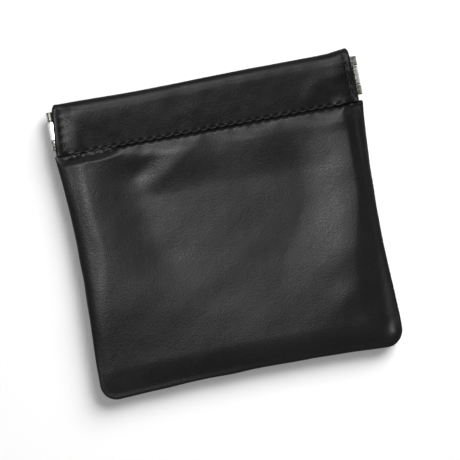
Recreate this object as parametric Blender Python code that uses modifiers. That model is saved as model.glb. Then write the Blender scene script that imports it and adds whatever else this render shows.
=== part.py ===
"""Squeeze pouch for small tech accessories: two leather panels, a band with a spring
flex frame in it along the mouth, and rolled hinge knuckles on pins at both ends.

The pouch lies on its back. +X runs along the mouth to the right, +Y points to the
mouth, +Z is up out of the front panel. The origin is under the middle of the back.
Heights along the pouch are counted from its bottom edge, and the root empty moves
the whole pouch to the origin. Units are metres.
"""

import math

import bmesh
import bpy
from mathutils import Matrix, Vector

# Clearances
GAP = 0.0003  # between pieces that touch on the real pouch
MOUTH_GAP = 0.0003  # between the front half and the back half
PIN_CLEARANCE = 0.00035  # round a pin inside its knuckles
BAND_END_CLEARANCE = 0.00035  # between a knuckle and the end of the band
STRIP_SPLIT = 0.00045  # between a spring strip and its rolled end

# Pouch body, whose sides are measured outwards from the ends of the band
BODY_THICKNESS = 0.0080
BODY_HEIGHT = 0.0812  # from the bottom edge to the lower edge of the band
FOOT_OVERHANG = 0.0012
WAIST_OVERHANG = 0.0008
SHOULDER_OVERHANG = 0.0023
WAIST_LEVEL = 0.0480
SHOULDER_DROP = 0.0027  # from the lower edge of the band down to the shoulders
EDGE_ROLL = 0.0060  # radius of the lower corners and width of the rolled edge
BOTTOM_ARCH = 0.0015
ARCH_REACH = 0.0300
PANEL_LEATHER = 0.0010
FRONT_CROWN = 0.0007  # how much lower the front panel is at its rolled edges
BULGE_REACH = 0.0090  # how far below the band the panels swell to full thickness

# Band along the mouth
BAND_WIDTH = 0.0980
BAND_HEIGHT = 0.0172
BAND_LEATHER = 0.0009
BAND_LAP = 0.0020  # how far the panels are tucked up under the band
TUCK_INSET = 0.0005  # how far the tucked edge stays inside the end of the band

# Flex frame
STRIP_THICKNESS = 0.0003
STRIP_HEIGHT = 0.0127
KNUCKLE_RADIUS = 0.00125
END_KNUCKLE = 0.0030
KNUCKLE_SPACE = 0.0003
KNUCKLE_WRAP = math.radians(290)
PIN_OVERHANG = 0.0001
PIN_BEVEL = 0.00015
STRIP_CORNER = 0.0015

# Turned-in seam allowances
SEAM_WIDTH = 0.0040
SEAM_THICKNESS = 0.0012
SEAM_FOOT_CLEARANCE = 0.0012  # from a rolled corner to the ends of the seams
SEAM_TOP_CLEARANCE = 0.0010  # from the shoulders down to the side seams

# Facets
ROLL_STEPS = 5
ACROSS_STEPS = 10
SIDE_STEPS = 9
BULGE_STEPS = 6
ARC_STEP = math.radians(20)
FOLD_STEPS = 8
SEAM_STEPS = 8
PIN_SIDES = 20

# Places that follow from the sizes
MID = BODY_THICKNESS / 2
LOW_WIDTH = BAND_WIDTH + 2 * FOOT_OVERHANG
WAIST_WIDTH = BAND_WIDTH + 2 * WAIST_OVERHANG
SHOULDER_WIDTH = BAND_WIDTH + 2 * SHOULDER_OVERHANG
SHOULDER_LEVEL = BODY_HEIGHT - SHOULDER_DROP
SIDE_SEAM_FOOT = EDGE_ROLL + SEAM_FOOT_CLEARANCE
SIDE_SEAM_TOP = SHOULDER_LEVEL - SEAM_TOP_CLEARANCE
BOTTOM_SEAM_LENGTH = LOW_WIDTH - 2 * (EDGE_ROLL + SEAM_FOOT_CLEARANCE)
STRIP_OUTSIDE = KNUCKLE_RADIUS
STRIP_INSIDE = STRIP_OUTSIDE - STRIP_THICKNESS
BAND_OUTSIDE = STRIP_OUTSIDE + GAP + BAND_LEATHER
BAND_INSIDE = MOUTH_GAP / 2
BAND_TOP = BODY_HEIGHT + BAND_HEIGHT
PANEL_TOP = BODY_HEIGHT + BAND_LAP
TUCK_LEVEL = BAND_OUTSIDE - BAND_LEATHER - GAP
PIN_X = BAND_WIDTH / 2 + BAND_END_CLEARANCE + KNUCKLE_RADIUS
PIN_RADIUS = KNUCKLE_RADIUS - STRIP_THICKNESS - PIN_CLEARANCE
STRIP_FOOT = PANEL_TOP + GAP
STRIP_TOP = STRIP_FOOT + STRIP_HEIGHT
STRIP_LENGTH = 2 * (PIN_X - KNUCKLE_RADIUS - STRIP_SPLIT)
FRONT, BACK = 1, -1
LEFT, RIGHT = -1, 1


def clear_scene():
    for obj in list(bpy.data.objects):
        bpy.data.objects.remove(obj, do_unlink=True)


def make_collection():
    collection = bpy.data.collections.new("tech_accessory_pouch")
    bpy.context.scene.collection.children.link(collection)
    return collection


def make_material(name, colour, roughness, metallic=0.0):
    material = bpy.data.materials.new(name)
    material.use_nodes = True
    shader = material.node_tree.nodes["Principled BSDF"]
    shader.inputs["Base Color"].default_value = (*colour, 1.0)
    shader.inputs["Roughness"].default_value = roughness
    shader.inputs["Metallic"].default_value = metallic
    return material


def add_object(name, data, material, parent):
    """Links a new object and hangs it on a joint's empty; its data keeps the pouch's frame."""
    obj = bpy.data.objects.new(name, data)
    POUCH.objects.link(obj)
    data.materials.append(material)
    obj.parent = parent
    obj.matrix_parent_inverse = Matrix.Translation(-parent.location)
    return obj


def add_mesh_object(name, bm, material, parent):
    bmesh.ops.recalc_face_normals(bm, faces=bm.faces)
    mesh = bpy.data.meshes.new(name)
    bm.to_mesh(mesh)
    bm.free()
    mesh.shade_smooth()
    mesh.set_sharp_from_angle(angle=math.radians(40))
    return add_object(name, mesh, material, parent)


def add_empty(name, place, parent=None):
    empty = bpy.data.objects.new(name, None)
    empty.location = place
    empty.empty_display_size = EDGE_ROLL
    empty.parent = parent
    POUCH.objects.link(empty)
    return empty


def ease(start, end, at):
    """0 at start, 1 at end, level at both."""
    share = min(max((at - start) / (end - start), 0.0), 1.0)
    return share * share * (3 - 2 * share)


def half_width(y):
    """Half the width of the pouch body at a height."""
    low, waist, shoulder = LOW_WIDTH / 2, WAIST_WIDTH / 2, SHOULDER_WIDTH / 2
    tuck = BAND_WIDTH / 2 - TUCK_INSET
    if y < WAIST_LEVEL:
        return low + (waist - low) * ease(EDGE_ROLL, WAIST_LEVEL, y)
    if y < SHOULDER_LEVEL:
        return waist + (shoulder - waist) * ease(WAIST_LEVEL, SHOULDER_LEVEL, y)
    return shoulder + (tuck - shoulder) * ease(SHOULDER_LEVEL, BODY_HEIGHT, y)


def arch(x, y):
    """How far the bottom edge is drawn up between its corners."""
    across = 1 - (x / (LOW_WIDTH / 2 - EDGE_ROLL)) ** 2
    return BOTTOM_ARCH * max(across, 0.0) * max(1 - y / ARCH_REACH, 0.0)


def swell(x, y, face):
    """Height of the panel's outer face over the mid plane, away from its rolled edges."""
    full = BODY_THICKNESS / 2
    if face == FRONT:
        across = x / (LOW_WIDTH / 2)
        along = 2 * y / BODY_HEIGHT - 1
        full -= FRONT_CROWN * min(across * across + along * along, 1.0)
    below = min(max((BODY_HEIGHT - y) / BULGE_REACH, 0.0), 1.0)
    return TUCK_LEVEL + (full - TUCK_LEVEL) * math.sqrt(1 - (1 - below) ** 2)


def panel_columns():
    """(place across the flat part from -1 to 1, how far into the rolled edge) per column."""
    roll = [math.cos(math.pi / 2 * k / ROLL_STEPS) for k in range(ROLL_STEPS)]
    flat = [2 * k / ACROSS_STEPS - 1 for k in range(ACROSS_STEPS + 1)]
    left = [(-1.0, a) for a in roll]
    right = [(1.0, a) for a in reversed(roll)]
    return left + [(u, 0.0) for u in flat] + right


def panel_rows():
    """(height above the bottom, how far into the rolled edge) per row."""
    roll = [(EDGE_ROLL, math.cos(math.pi / 2 * k / ROLL_STEPS)) for k in range(ROLL_STEPS)]
    bulge_foot = BODY_HEIGHT - BULGE_REACH
    side = [EDGE_ROLL + (bulge_foot - EDGE_ROLL) * k / SIDE_STEPS for k in range(SIDE_STEPS)]
    turns = [math.pi / 2 * k / BULGE_STEPS for k in range(BULGE_STEPS + 1)]
    bulge = [bulge_foot + BULGE_REACH * math.sin(turn) for turn in turns]
    return roll + [(y, 0.0) for y in side + bulge + [PANEL_TOP]]


def panel_point(column, row, face, inset):
    """A point of the panel's outer face, or of its inner face, one inset further in."""
    u, a = column
    y, b = row
    into_side = a * math.sqrt(1 - b * b / 2)
    into_foot = b * math.sqrt(1 - a * a / 2)
    reach = EDGE_ROLL - inset
    x = u * (half_width(y) - EDGE_ROLL) + math.copysign(reach * into_side, u)
    y -= reach * into_foot
    edge = math.sqrt(max(1 - into_side**2 - into_foot**2, 0.0))
    rise = MOUTH_GAP / 2 + (swell(x, y, face) - inset - MOUTH_GAP / 2) * edge
    return Vector((x, y + arch(x, y), MID + face * rise))


def add_mapped_grid(bm, columns, rows, place):
    """A grid of len(columns) by len(rows) points, each moved to place(column, row)."""
    last_column, last_row = len(columns) - 1, len(rows) - 1
    grid = bmesh.ops.create_grid(bm, x_segments=last_column, y_segments=last_row, size=1.0)
    for vert in grid["verts"]:
        i = round((vert.co.x + 1) / 2 * last_column)
        j = round((vert.co.y + 1) / 2 * last_row)
        vert.co = place(columns[i], rows[j])
    return grid["verts"]


def rim_edges(verts):
    return list({edge for vert in verts for edge in vert.link_edges if edge.is_boundary})


def add_panel(name, face, material, parent):
    """A dished leather panel: an outer and an inner skin joined along their rims."""
    columns, rows = panel_columns(), panel_rows()
    bm = bmesh.new()
    rims = []
    for inset in (0.0, PANEL_LEATHER):
        skin = add_mapped_grid(
            bm, columns, rows, lambda column, row: panel_point(column, row, face, inset)
        )
        rims += rim_edges(skin)
    bmesh.ops.bridge_loops(bm, edges=rims)
    return add_mesh_object(name, bm, material, parent)


def arc_points(centre, radius, start, end, steps):
    turns = [start + (end - start) * k / steps for k in range(steps + 1)]
    cy, cz = centre
    return [(cy + radius * math.cos(t), cz + radius * math.sin(t)) for t in turns]


def band_outline():
    """Section of the band across the mouth, as (y, height over the mid plane).

    The leather goes up the outside, folds over at the mouth and comes down inside,
    round the channel of the spring strip. The panel's edge is tucked in below it.
    """
    lining_outside = STRIP_INSIDE - GAP
    channel_outside = BAND_OUTSIDE - BAND_LEATHER
    fold = (BAND_OUTSIDE - BAND_INSIDE) / 2
    channel = (channel_outside - lining_outside) / 2
    fold_centre = (BAND_TOP - fold, BAND_INSIDE + fold)
    channel_centre = (BAND_TOP - BAND_LEATHER - channel, lining_outside + channel)
    half_turn = math.pi / 2
    outline = [(BODY_HEIGHT, channel_outside), (BODY_HEIGHT, BAND_OUTSIDE)]
    outline += arc_points(fold_centre, fold, half_turn, -half_turn, FOLD_STEPS)
    outline += [(STRIP_FOOT, BAND_INSIDE), (STRIP_FOOT, lining_outside)]
    outline += arc_points(channel_centre, channel, -half_turn, half_turn, FOLD_STEPS)
    return outline


def add_flat_curve(name, points, half_depth, material, parent):
    """A filled outline in the curve's own XY plane, as deep as told."""
    curve = bpy.data.curves.new(name, "CURVE")
    curve.dimensions = "2D"
    curve.fill_mode = "BOTH"
    curve.extrude = half_depth
    spline = curve.splines.new("POLY")
    spline.points.add(len(points) - 1)
    for point, (x, y) in zip(spline.points, points):
        point.co = (x, y, 0.0, 1.0)
    spline.use_cyclic_u = True
    return add_object(name, curve, material, parent)


def add_band(name, face, material, parent):
    outline = [(y, face * rise) for y, rise in band_outline()]
    band = add_flat_curve(name, outline, BAND_WIDTH / 2, material, parent)
    along_y_and_z = Matrix(((0, 0, 1, 0), (1, 0, 0, 0), (0, 1, 0, MID), (0, 0, 0, 1)))
    band.matrix_basis = along_y_and_z
    return band


def add_spring_strip(name, face, material, parent):
    """The straight length of a strip, in its channel of the band."""
    bm = bmesh.new()
    bmesh.ops.create_cube(bm, size=1.0)
    bmesh.ops.scale(bm, vec=(STRIP_LENGTH, STRIP_HEIGHT, STRIP_THICKNESS), verts=bm.verts)
    upright = [
        edge for edge in bm.edges if abs(edge.verts[0].co.z - edge.verts[1].co.z) > 0
    ]
    bmesh.ops.bevel(
        bm, geom=upright, offset=STRIP_CORNER, segments=3, affect="EDGES", profile=0.5
    )
    rise = (STRIP_INSIDE + STRIP_OUTSIDE) / 2
    centre = Vector((0.0, (STRIP_FOOT + STRIP_TOP) / 2, MID + face * rise))
    bmesh.ops.translate(bm, vec=centre, verts=bm.verts)
    return add_mesh_object(name, bm, material, parent)


def roll_path():
    """Middle line of a rolled tongue, from its root round the pin at the origin."""
    radius = KNUCKLE_RADIUS - STRIP_THICKNESS / 2
    steps = round(KNUCKLE_WRAP / ARC_STEP)
    turns = [KNUCKLE_WRAP * k / steps for k in range(steps + 1)]
    root = [(KNUCKLE_RADIUS, radius)]
    return root + [(-radius * math.sin(t), radius * math.cos(t)) for t in turns]


def add_knuckle(name, side, face, span, material, parent):
    """A tongue of a strip's end, rolled round the pin; its root lies at the band's end."""
    foot, top = span
    path = roll_path()
    bm = bmesh.new()

    def place(step, level):
        x, rise = step
        return Vector((side * (PIN_X - x), STRIP_FOOT + level, MID + face * rise))

    add_mapped_grid(bm, path, [foot, top], place)
    knuckle = add_mesh_object(name, bm, material, parent)
    solidify = knuckle.modifiers.new("strip thickness", "SOLIDIFY")
    solidify.thickness = STRIP_THICKNESS
    solidify.offset = 0.0
    solidify.use_even_offset = True
    return knuckle


def add_pin(name, side, material, parent):
    length = STRIP_HEIGHT + 2 * PIN_OVERHANG
    bm = bmesh.new()
    bmesh.ops.create_cone(
        bm,
        cap_ends=True,
        segments=PIN_SIDES,
        radius1=PIN_RADIUS,
        radius2=PIN_RADIUS,
        depth=length,
    )
    ends = [edge for edge in bm.edges if edge.calc_face_angle(0.0) > math.radians(60)]
    bmesh.ops.bevel(bm, geom=ends, offset=PIN_BEVEL, segments=2, affect="EDGES", profile=0.5)
    bmesh.ops.rotate(bm, matrix=Matrix.Rotation(math.pi / 2, 3, "X"), verts=bm.verts)
    centre = Vector((side * PIN_X, (STRIP_FOOT + STRIP_TOP) / 2, MID))
    bmesh.ops.translate(bm, vec=centre, verts=bm.verts)
    return add_mesh_object(name, bm, material, parent)


def add_side_seam(name, side, material, parent):
    """The two turned-in edges sewn together along one side, inside the pouch."""
    rise = (SIDE_SEAM_TOP - SIDE_SEAM_FOOT) / SEAM_STEPS
    levels = [SIDE_SEAM_FOOT + rise * k for k in range(SEAM_STEPS + 1)]
    inset = PANEL_LEATHER + GAP
    outer = [(side * (half_width(y) - inset), y) for y in levels]
    inner = [(side * (half_width(y) - inset - SEAM_WIDTH), y) for y in reversed(levels)]
    seam = add_flat_curve(name, outer + inner, SEAM_THICKNESS / 2, material, parent)
    seam.location.z = MID
    return seam


def add_bottom_seam(name, material, parent):
    step = BOTTOM_SEAM_LENGTH / SEAM_STEPS
    across = [step * k - BOTTOM_SEAM_LENGTH / 2 for k in range(SEAM_STEPS + 1)]
    foot = PANEL_LEATHER + GAP
    lower = [(x, foot + arch(x, foot)) for x in across]
    upper = [(x, y + SEAM_WIDTH) for x, y in reversed(lower)]
    seam = add_flat_curve(name, lower + upper, SEAM_THICKNESS / 2, material, parent)
    seam.location.z = MID
    return seam


def build():
    leather = make_material("black leather", (0.026, 0.026, 0.028), 0.42)
    band_leather = make_material("black band leather", (0.024, 0.024, 0.027), 0.45)
    backing = make_material("leather backing", (0.018, 0.018, 0.019), 0.85)
    steel = make_material("spring steel", (0.55, 0.55, 0.53), 0.3, metallic=1.0)
    plated = make_material("plated knuckle steel", (0.72, 0.72, 0.69), 0.22, metallic=1.0)
    pin_steel = make_material("pin steel", (0.62, 0.62, 0.60), 0.25, metallic=1.0)

    lower = (0.0, END_KNUCKLE)
    middle = (END_KNUCKLE + KNUCKLE_SPACE, STRIP_HEIGHT - END_KNUCKLE - KNUCKLE_SPACE)
    upper = (STRIP_HEIGHT - END_KNUCKLE, STRIP_HEIGHT)

    pouch = add_empty("pouch", Vector((0.0, -BAND_TOP / 2, 0.0)))
    base = add_empty("back_base", Vector((0.0, 0.0, 0.0)), pouch)
    pin_level = (STRIP_FOOT + STRIP_TOP) / 2
    left_corner, right_corner = (Vector((side * PIN_X, 0.0, MID)) for side in (LEFT, RIGHT))
    left_pin_centre, right_pin_centre = (
        Vector((side * PIN_X, pin_level, MID)) for side in (LEFT, RIGHT)
    )
    left_side = add_empty("left_side_joint", left_corner, pouch)
    front = add_empty("front_joint", left_corner, pouch)
    right_seam = add_empty("right_seam_joint", right_corner, pouch)
    right_side = add_empty("right_side_joint", right_corner, pouch)
    left_hinge = add_empty("left_hinge_joint", left_pin_centre, pouch)
    right_hinge = add_empty("right_hinge_joint", right_pin_centre, pouch)

    add_panel("back_panel", BACK, leather, base)
    add_band("back_band", BACK, band_leather, base)
    add_spring_strip("back_spring_strip", BACK, steel, base)
    add_bottom_seam("bottom_seam", backing, base)

    add_panel("front_panel", FRONT, leather, front)
    add_band("front_band", FRONT, band_leather, front)
    add_spring_strip("front_spring_strip", FRONT, steel, front)

    add_side_seam("left_side_seam", LEFT, backing, left_side)
    add_pin("left_pin", LEFT, pin_steel, left_side)
    add_knuckle("back_left_lower_knuckle", LEFT, BACK, lower, plated, left_side)
    add_knuckle("back_left_upper_knuckle", LEFT, BACK, upper, plated, left_side)
    add_knuckle("front_left_knuckle", LEFT, FRONT, middle, plated, left_hinge)

    add_side_seam("right_side_seam", RIGHT, backing, right_seam)
    add_pin("right_pin", RIGHT, pin_steel, right_side)
    add_knuckle("back_right_knuckle", RIGHT, BACK, middle, plated, right_side)
    add_knuckle("front_right_lower_knuckle", RIGHT, FRONT, lower, plated, right_hinge)
    add_knuckle("front_right_upper_knuckle", RIGHT, FRONT, upper, plated, right_hinge)


clear_scene()
POUCH = make_collection()
build()
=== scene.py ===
"""Looks of a flat leather squeeze pouch with a spring flex frame in its mouth.

The pouch lies on its back: +X runs along the mouth to the right, +Y points to the mouth
and +Z up out of the front. Every size is in metres.
"""

import logging
import math
from abc import ABC, abstractmethod
from dataclasses import dataclass
from enum import Enum

import bpy
import numpy as np
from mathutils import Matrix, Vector


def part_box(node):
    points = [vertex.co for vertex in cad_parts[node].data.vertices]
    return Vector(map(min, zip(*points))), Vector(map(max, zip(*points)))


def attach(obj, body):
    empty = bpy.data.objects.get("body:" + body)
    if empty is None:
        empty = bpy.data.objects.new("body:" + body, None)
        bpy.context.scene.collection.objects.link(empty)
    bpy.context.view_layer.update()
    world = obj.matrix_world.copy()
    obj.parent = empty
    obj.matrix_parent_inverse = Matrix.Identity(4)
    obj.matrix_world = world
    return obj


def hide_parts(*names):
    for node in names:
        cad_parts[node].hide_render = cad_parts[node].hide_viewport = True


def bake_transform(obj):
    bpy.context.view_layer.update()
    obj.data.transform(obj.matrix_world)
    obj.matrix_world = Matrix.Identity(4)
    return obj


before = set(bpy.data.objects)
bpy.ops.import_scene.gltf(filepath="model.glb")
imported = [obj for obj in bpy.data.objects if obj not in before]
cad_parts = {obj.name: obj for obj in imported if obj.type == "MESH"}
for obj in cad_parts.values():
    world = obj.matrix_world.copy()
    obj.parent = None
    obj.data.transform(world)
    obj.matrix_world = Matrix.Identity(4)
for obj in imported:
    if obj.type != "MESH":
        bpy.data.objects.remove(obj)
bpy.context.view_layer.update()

LOG = logging.getLogger("pouch")
MM = 0.001

Span = tuple[float, float]
Socket = bpy.types.NodeSocket

# The values that most of a soft noise lies between
NOISE_SPAN = (0.35, 0.65)

# The waves of unevenness: each one tighter and weaker than the last, turned and shifted from it
WAVES = 5
WAVE_TIGHTENING = 0.37
WAVE_TURN = 2.4
WAVE_SHIFT = 1.7
WAVE_SUM = 2.3

# A stitch: how blunt its tips are, how soon the thread is full, how deep the groove between its
# plies is, how late it goes down into the leather, and how sharply it dimples the leather
THREAD_TIP = 0.02
THREAD_FULLNESS = 2.2
PLY_DEPTH = 0.16
DIVE_POWER = 5
DIMPLE = 0.8

# A length too small to divide by, and a difference that is only rounding
TINY = 1e-12
ROUNDING = 1e-9


class Face(Enum):
    """The two halves of the pouch, by the way their outer side looks."""

    FRONT = 1
    BACK = -1

    @property
    def word(self) -> str:
        """The half's name as it stands in the names of its pieces."""
        return self.name.lower()


class Side(Enum):
    """The two ends of the mouth."""

    LEFT = -1
    RIGHT = 1

    @property
    def word(self) -> str:
        """The side's name as it stands in the names of its pieces."""
        return self.name.lower()


def ease(start: float, end: float, at: np.ndarray) -> np.ndarray:
    """Goes from 0 to 1 between two places, level at both.

    Args:
        start: where it is 0.
        end: where it is 1.
        at: the places asked for.

    Returns:
        The share reached at each place.
    """
    share = np.clip((at - start) / (end - start), 0.0, 1.0)
    return share * share * (3 - 2 * share)


def bell(at: np.ndarray, middle: float, reach: float | np.ndarray) -> np.ndarray:
    """Stands up to 1 at a place and falls off softly on both sides of it.

    Args:
        at: the places asked for.
        middle: where it is 1.
        reach: how far from the middle it has fallen to about a third.

    Returns:
        The share at each place.
    """
    return np.exp(-(((at - middle) / reach) ** 2))


def mix(
    first: float | np.ndarray, second: float | np.ndarray, share: float | np.ndarray
) -> float | np.ndarray:
    """The value that lies between two others, by its share of the way to the second."""
    return first + (second - first) * share


def spaced(start: float, end: float, step: float) -> np.ndarray:
    """Even places from start to end, no further apart than a step."""
    return np.linspace(start, end, max(int(math.ceil(abs(end - start) / step)), 1) + 1)


def mirrored(end: float, step: float) -> np.ndarray:
    """Even places from -end to end with one in the middle, no further apart than a step."""
    half = spaced(0.0, end, step)
    return np.concatenate([-half[:0:-1], half])


@dataclass(frozen=True)
class PouchForm:
    """Sizes of the pouch, read from the frame where it has them, and the lines of its leather.

    Heights are counted from the bottom edge, rises from the plane of the side seams.
    """

    foot: float
    mid: float
    band_foot: float
    band_top: float
    band_end: float
    band_rise: float
    panel_top: float
    foot_overhang: float = 1.65 * MM
    waist_overhang: float = 0.5 * MM
    shoulder_overhang: float = 2.5 * MM
    tuck_inset: float = 0.5 * MM
    waist_level: float = 40 * MM
    shoulder_level: float = 81.3 * MM
    shoulder_turn: float = 0.9 * MM
    edge_roll: float = 6 * MM
    bottom_arch: float = 0.95 * MM
    bottom_slant: float = 0.0095
    bottom_bend: float = 0.62
    arch_reach: float = 30 * MM
    leather: float = 1.0 * MM
    tuck_rise: float = 1.12 * MM

    @classmethod
    def from_frame(cls) -> "PouchForm":
        """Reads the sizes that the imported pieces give."""
        panel_low, panel_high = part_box("front_panel")
        band_low, band_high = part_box("front_band")
        pin_low, pin_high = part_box("left_pin")
        mid = (pin_low.z + pin_high.z) / 2
        return cls(
            foot=panel_low.y,
            mid=mid,
            band_foot=band_low.y - panel_low.y,
            band_top=band_high.y - panel_low.y,
            band_end=band_high.x,
            band_rise=band_high.z - mid,
            panel_top=panel_high.y - panel_low.y,
        )

    def half_width(self, height: np.ndarray) -> np.ndarray:
        """Half the width of the body at a height.

        Args:
            height: heights over the bottom edge.

        Returns:
            The distance from the middle to the side, for each height.
        """
        overhangs = (self.foot_overhang, self.waist_overhang, self.shoulder_overhang)
        low, waist, shoulder = (self.band_end + overhang for overhang in overhangs)
        width = mix(low, waist, ease(self.edge_roll, self.waist_level, height))
        above = (height - self.waist_level) / (self.shoulder_level - self.waist_level)
        width = width + (shoulder - waist) * np.clip(above, 0.0, 1.0) ** 2
        turned = ease(self.shoulder_level, self.shoulder_level + self.shoulder_turn, height)
        return width + (self.band_end - self.tuck_inset - shoulder) * turned

    def arch(self, x: np.ndarray, height: np.ndarray | float) -> np.ndarray:
        """How far the bottom edge is drawn up between its corners.

        Args:
            x: places across the pouch.
            height: heights over the bottom edge.

        Returns:
            The lift at each place, which fades out up the pouch.
        """
        drawn = self.bottom_arch + self.bottom_slant * x - self.bottom_bend * x**2
        return drawn * np.maximum(1 - height / self.arch_reach, 0.0)


@dataclass(frozen=True)
class Fold:
    """A soft ridge in the leather along a straight line, or a crease where its rise is negative.

    Its sizes are in millimetres. The lee is its width on the right of the line, where it differs.
    """

    start: Span
    end: Span
    width: float
    rise: float
    fade: float = 4.0
    lee: float = 0.0

    def height(self, x: np.ndarray, height: np.ndarray) -> np.ndarray:
        """The rise of the fold, in metres.

        Args:
            x: places across the pouch.
            height: heights over the bottom edge.

        Returns:
            How far the leather stands up at each place.
        """
        along = Vector(self.end) - Vector(self.start)
        length = along.length
        px, py = x / MM - self.start[0], height / MM - self.start[1]
        run = (px * along.x + py * along.y) / length
        off = (px * along.y - py * along.x) / length
        begun, ended = (ease(place - self.fade, place + self.fade, run) for place in (0.0, length))
        width = np.where(off > 0, self.lee or self.width, self.width)
        return self.rise * MM * bell(off, 0.0, width) * begun * (1 - ended)


@dataclass(frozen=True)
class Puff:
    """A soft round swelling in the leather, or a hollow where its rise is negative.

    Its sizes are in millimetres and degrees.
    """

    centre: Span
    reach: Span
    rise: float
    turn: float = 0.0

    def height(self, x: np.ndarray, height: np.ndarray) -> np.ndarray:
        """The rise of the swelling, in metres.

        Args:
            x: places across the pouch.
            height: heights over the bottom edge.

        Returns:
            How far the leather stands up at each place.
        """
        turn = math.radians(self.turn)
        px, py = x / MM - self.centre[0], height / MM - self.centre[1]
        along = px * math.cos(turn) + py * math.sin(turn)
        across = py * math.cos(turn) - px * math.sin(turn)
        wide, high = self.reach
        return self.rise * MM * bell(along, 0.0, wide) * bell(across, 0.0, high)


def unevenness(x: np.ndarray, y: np.ndarray, length: float, phase: float) -> np.ndarray:
    """Gentle waves in several directions, between about -1 and 1, the same on each run.

    Args:
        x: places across.
        y: places along.
        length: the length of the longest wave.
        phase: shifts the waves, so that two pieces don't match.

    Returns:
        The sum of the waves at each place.
    """
    total = np.zeros_like(x)
    for k in range(WAVES):
        angle = phase + WAVE_TURN * k
        tightness = 2 * math.pi / length * (1 + WAVE_TIGHTENING * k)
        run = x * math.cos(angle) + y * math.sin(angle)
        total = total + np.sin(tightness * run + WAVE_SHIFT * k + phase) / (1 + k)
    return total / WAVE_SUM


def sewn(along: np.ndarray, pitch: float) -> np.ndarray:
    """How much a row of stitches presses down, the first of them half a pitch from 0.

    Args:
        along: places along the row.
        pitch: how far apart the stitches are.

    Returns:
        1 on a stitch and 0 between two, for each place.
    """
    return np.clip(0.5 - DIMPLE * np.cos(2 * math.pi * along / pitch), 0.0, 1.0)


class Draft:
    """Points and faces gathered from grids before they become meshes."""

    def __init__(self) -> None:
        """Starts with nothing in it."""
        self.points: list[np.ndarray] = []
        self.quads: list[np.ndarray] = []
        self.slots: list[np.ndarray] = []
        self.rub: list[np.ndarray] = []
        self.count = 0

    def add_points(self, points: np.ndarray, rub: np.ndarray | float = 0.0) -> np.ndarray:
        """Adds a grid of points.

        Args:
            points: an array whose last axis holds x, y and z.
            rub: how rubbed and shiny the leather is, and on the steel the painted shade, from 0 to
                1.

        Returns:
            The index of each point, in the grid's shape.
        """
        shape = points.shape[:-1]
        amount = int(np.prod(shape))
        self.points.append(points.reshape(-1, 3))
        self.rub.append(np.broadcast_to(rub, shape).reshape(-1).astype(float))
        index = np.arange(self.count, self.count + amount).reshape(shape)
        self.count += amount
        return index

    def add_faces(self, index: np.ndarray, slot: int = 0, flip: bool = False) -> None:
        """Fills a grid of indices with faces.

        Args:
            index: the grid of point indices, two rows or more.
            slot: the material that the faces take.
            flip: turns the faces round.
        """
        quads = np.stack([index[:-1, :-1], index[:-1, 1:], index[1:, 1:], index[1:, :-1]], axis=-1)
        quads = quads.reshape(-1, 4)
        self.quads.append(quads[:, ::-1] if flip else quads)
        self.slots.append(np.full(len(quads), slot))

    def mesh(
        self, name: str, keep: np.ndarray | None = None, normals: np.ndarray | None = None
    ) -> bpy.types.Mesh:
        """Makes a mesh of all the faces, or of some of them.

        Args:
            name: the mesh's name.
            keep: which faces to keep.
            normals: the normal of each point of the draft, where the mesh takes it from there.

        Returns:
            The mesh, shaded smooth.
        """
        points, quads = np.concatenate(self.points), np.concatenate(self.quads)
        slots, rub = np.concatenate(self.slots), np.concatenate(self.rub)
        if keep is not None:
            quads, slots = quads[keep], slots[keep]
        used, index = np.unique(quads, return_inverse=True)
        mesh = bpy.data.meshes.new(name)
        mesh.from_pydata(points[used].tolist(), [], index.reshape(-1, 4).tolist())
        mesh.polygons.foreach_set("material_index", slots.astype(np.int32))
        # The mask of rubbed leather and of the knuckles' painted shade, kept on each point
        worn = mesh.attributes.new("rub", "FLOAT", "POINT")
        worn.data.foreach_set("value", rub[used].astype(np.float32))
        mesh.shade_smooth()
        if normals is not None:
            mesh.normals_split_custom_set_from_vertices(normals[used].tolist())
        return mesh

    def normals(self) -> np.ndarray:
        """The normal at each point of the whole draft."""
        whole = self.mesh("whole")
        points, quads = np.concatenate(self.points), np.concatenate(self.quads)
        used = np.unique(quads)
        found = np.zeros(len(whole.vertices) * 3)
        whole.vertex_normals.foreach_get("vector", found)
        bpy.data.meshes.remove(whole)
        normals = np.zeros_like(points)
        normals[used] = found.reshape(-1, 3)
        return normals


def link_piece(
    name: str, mesh: bpy.types.Mesh, materials: list[bpy.types.Material]
) -> bpy.types.Object:
    """Makes a piece of a mesh.

    Args:
        name: the piece's name.
        mesh: its mesh, in the frame of the pouch.
        materials: its materials, in the order of the mesh's slots.

    Returns:
        The new object, in the scene.
    """
    piece = bpy.data.objects.new(name, mesh)
    bpy.context.scene.collection.objects.link(piece)
    for material in materials:
        mesh.materials.append(material)
    return piece


@dataclass(frozen=True)
class Bend:
    """The bodies at the side and in the middle of one quarter of the pouch, with two reaches."""

    side_body: str
    middle_body: str
    near: float = 8 * MM
    far: float = 56 * MM

    def apply(self, piece: bpy.types.Object, side: Side) -> bpy.types.Object:
        """Bakes the piece's placement into its mesh."""
        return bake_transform(piece)


# The right seam is on the front's side of the cut that opens the ring of the mouth
BENDS = {
    (Face.BACK, Side.LEFT): Bend("left_side", "back"),
    (Face.BACK, Side.RIGHT): Bend("right_side", "back"),
    (Face.FRONT, Side.LEFT): Bend("left_side", "front"),
    (Face.FRONT, Side.RIGHT): Bend("right_seam", "front"),
}


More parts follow.
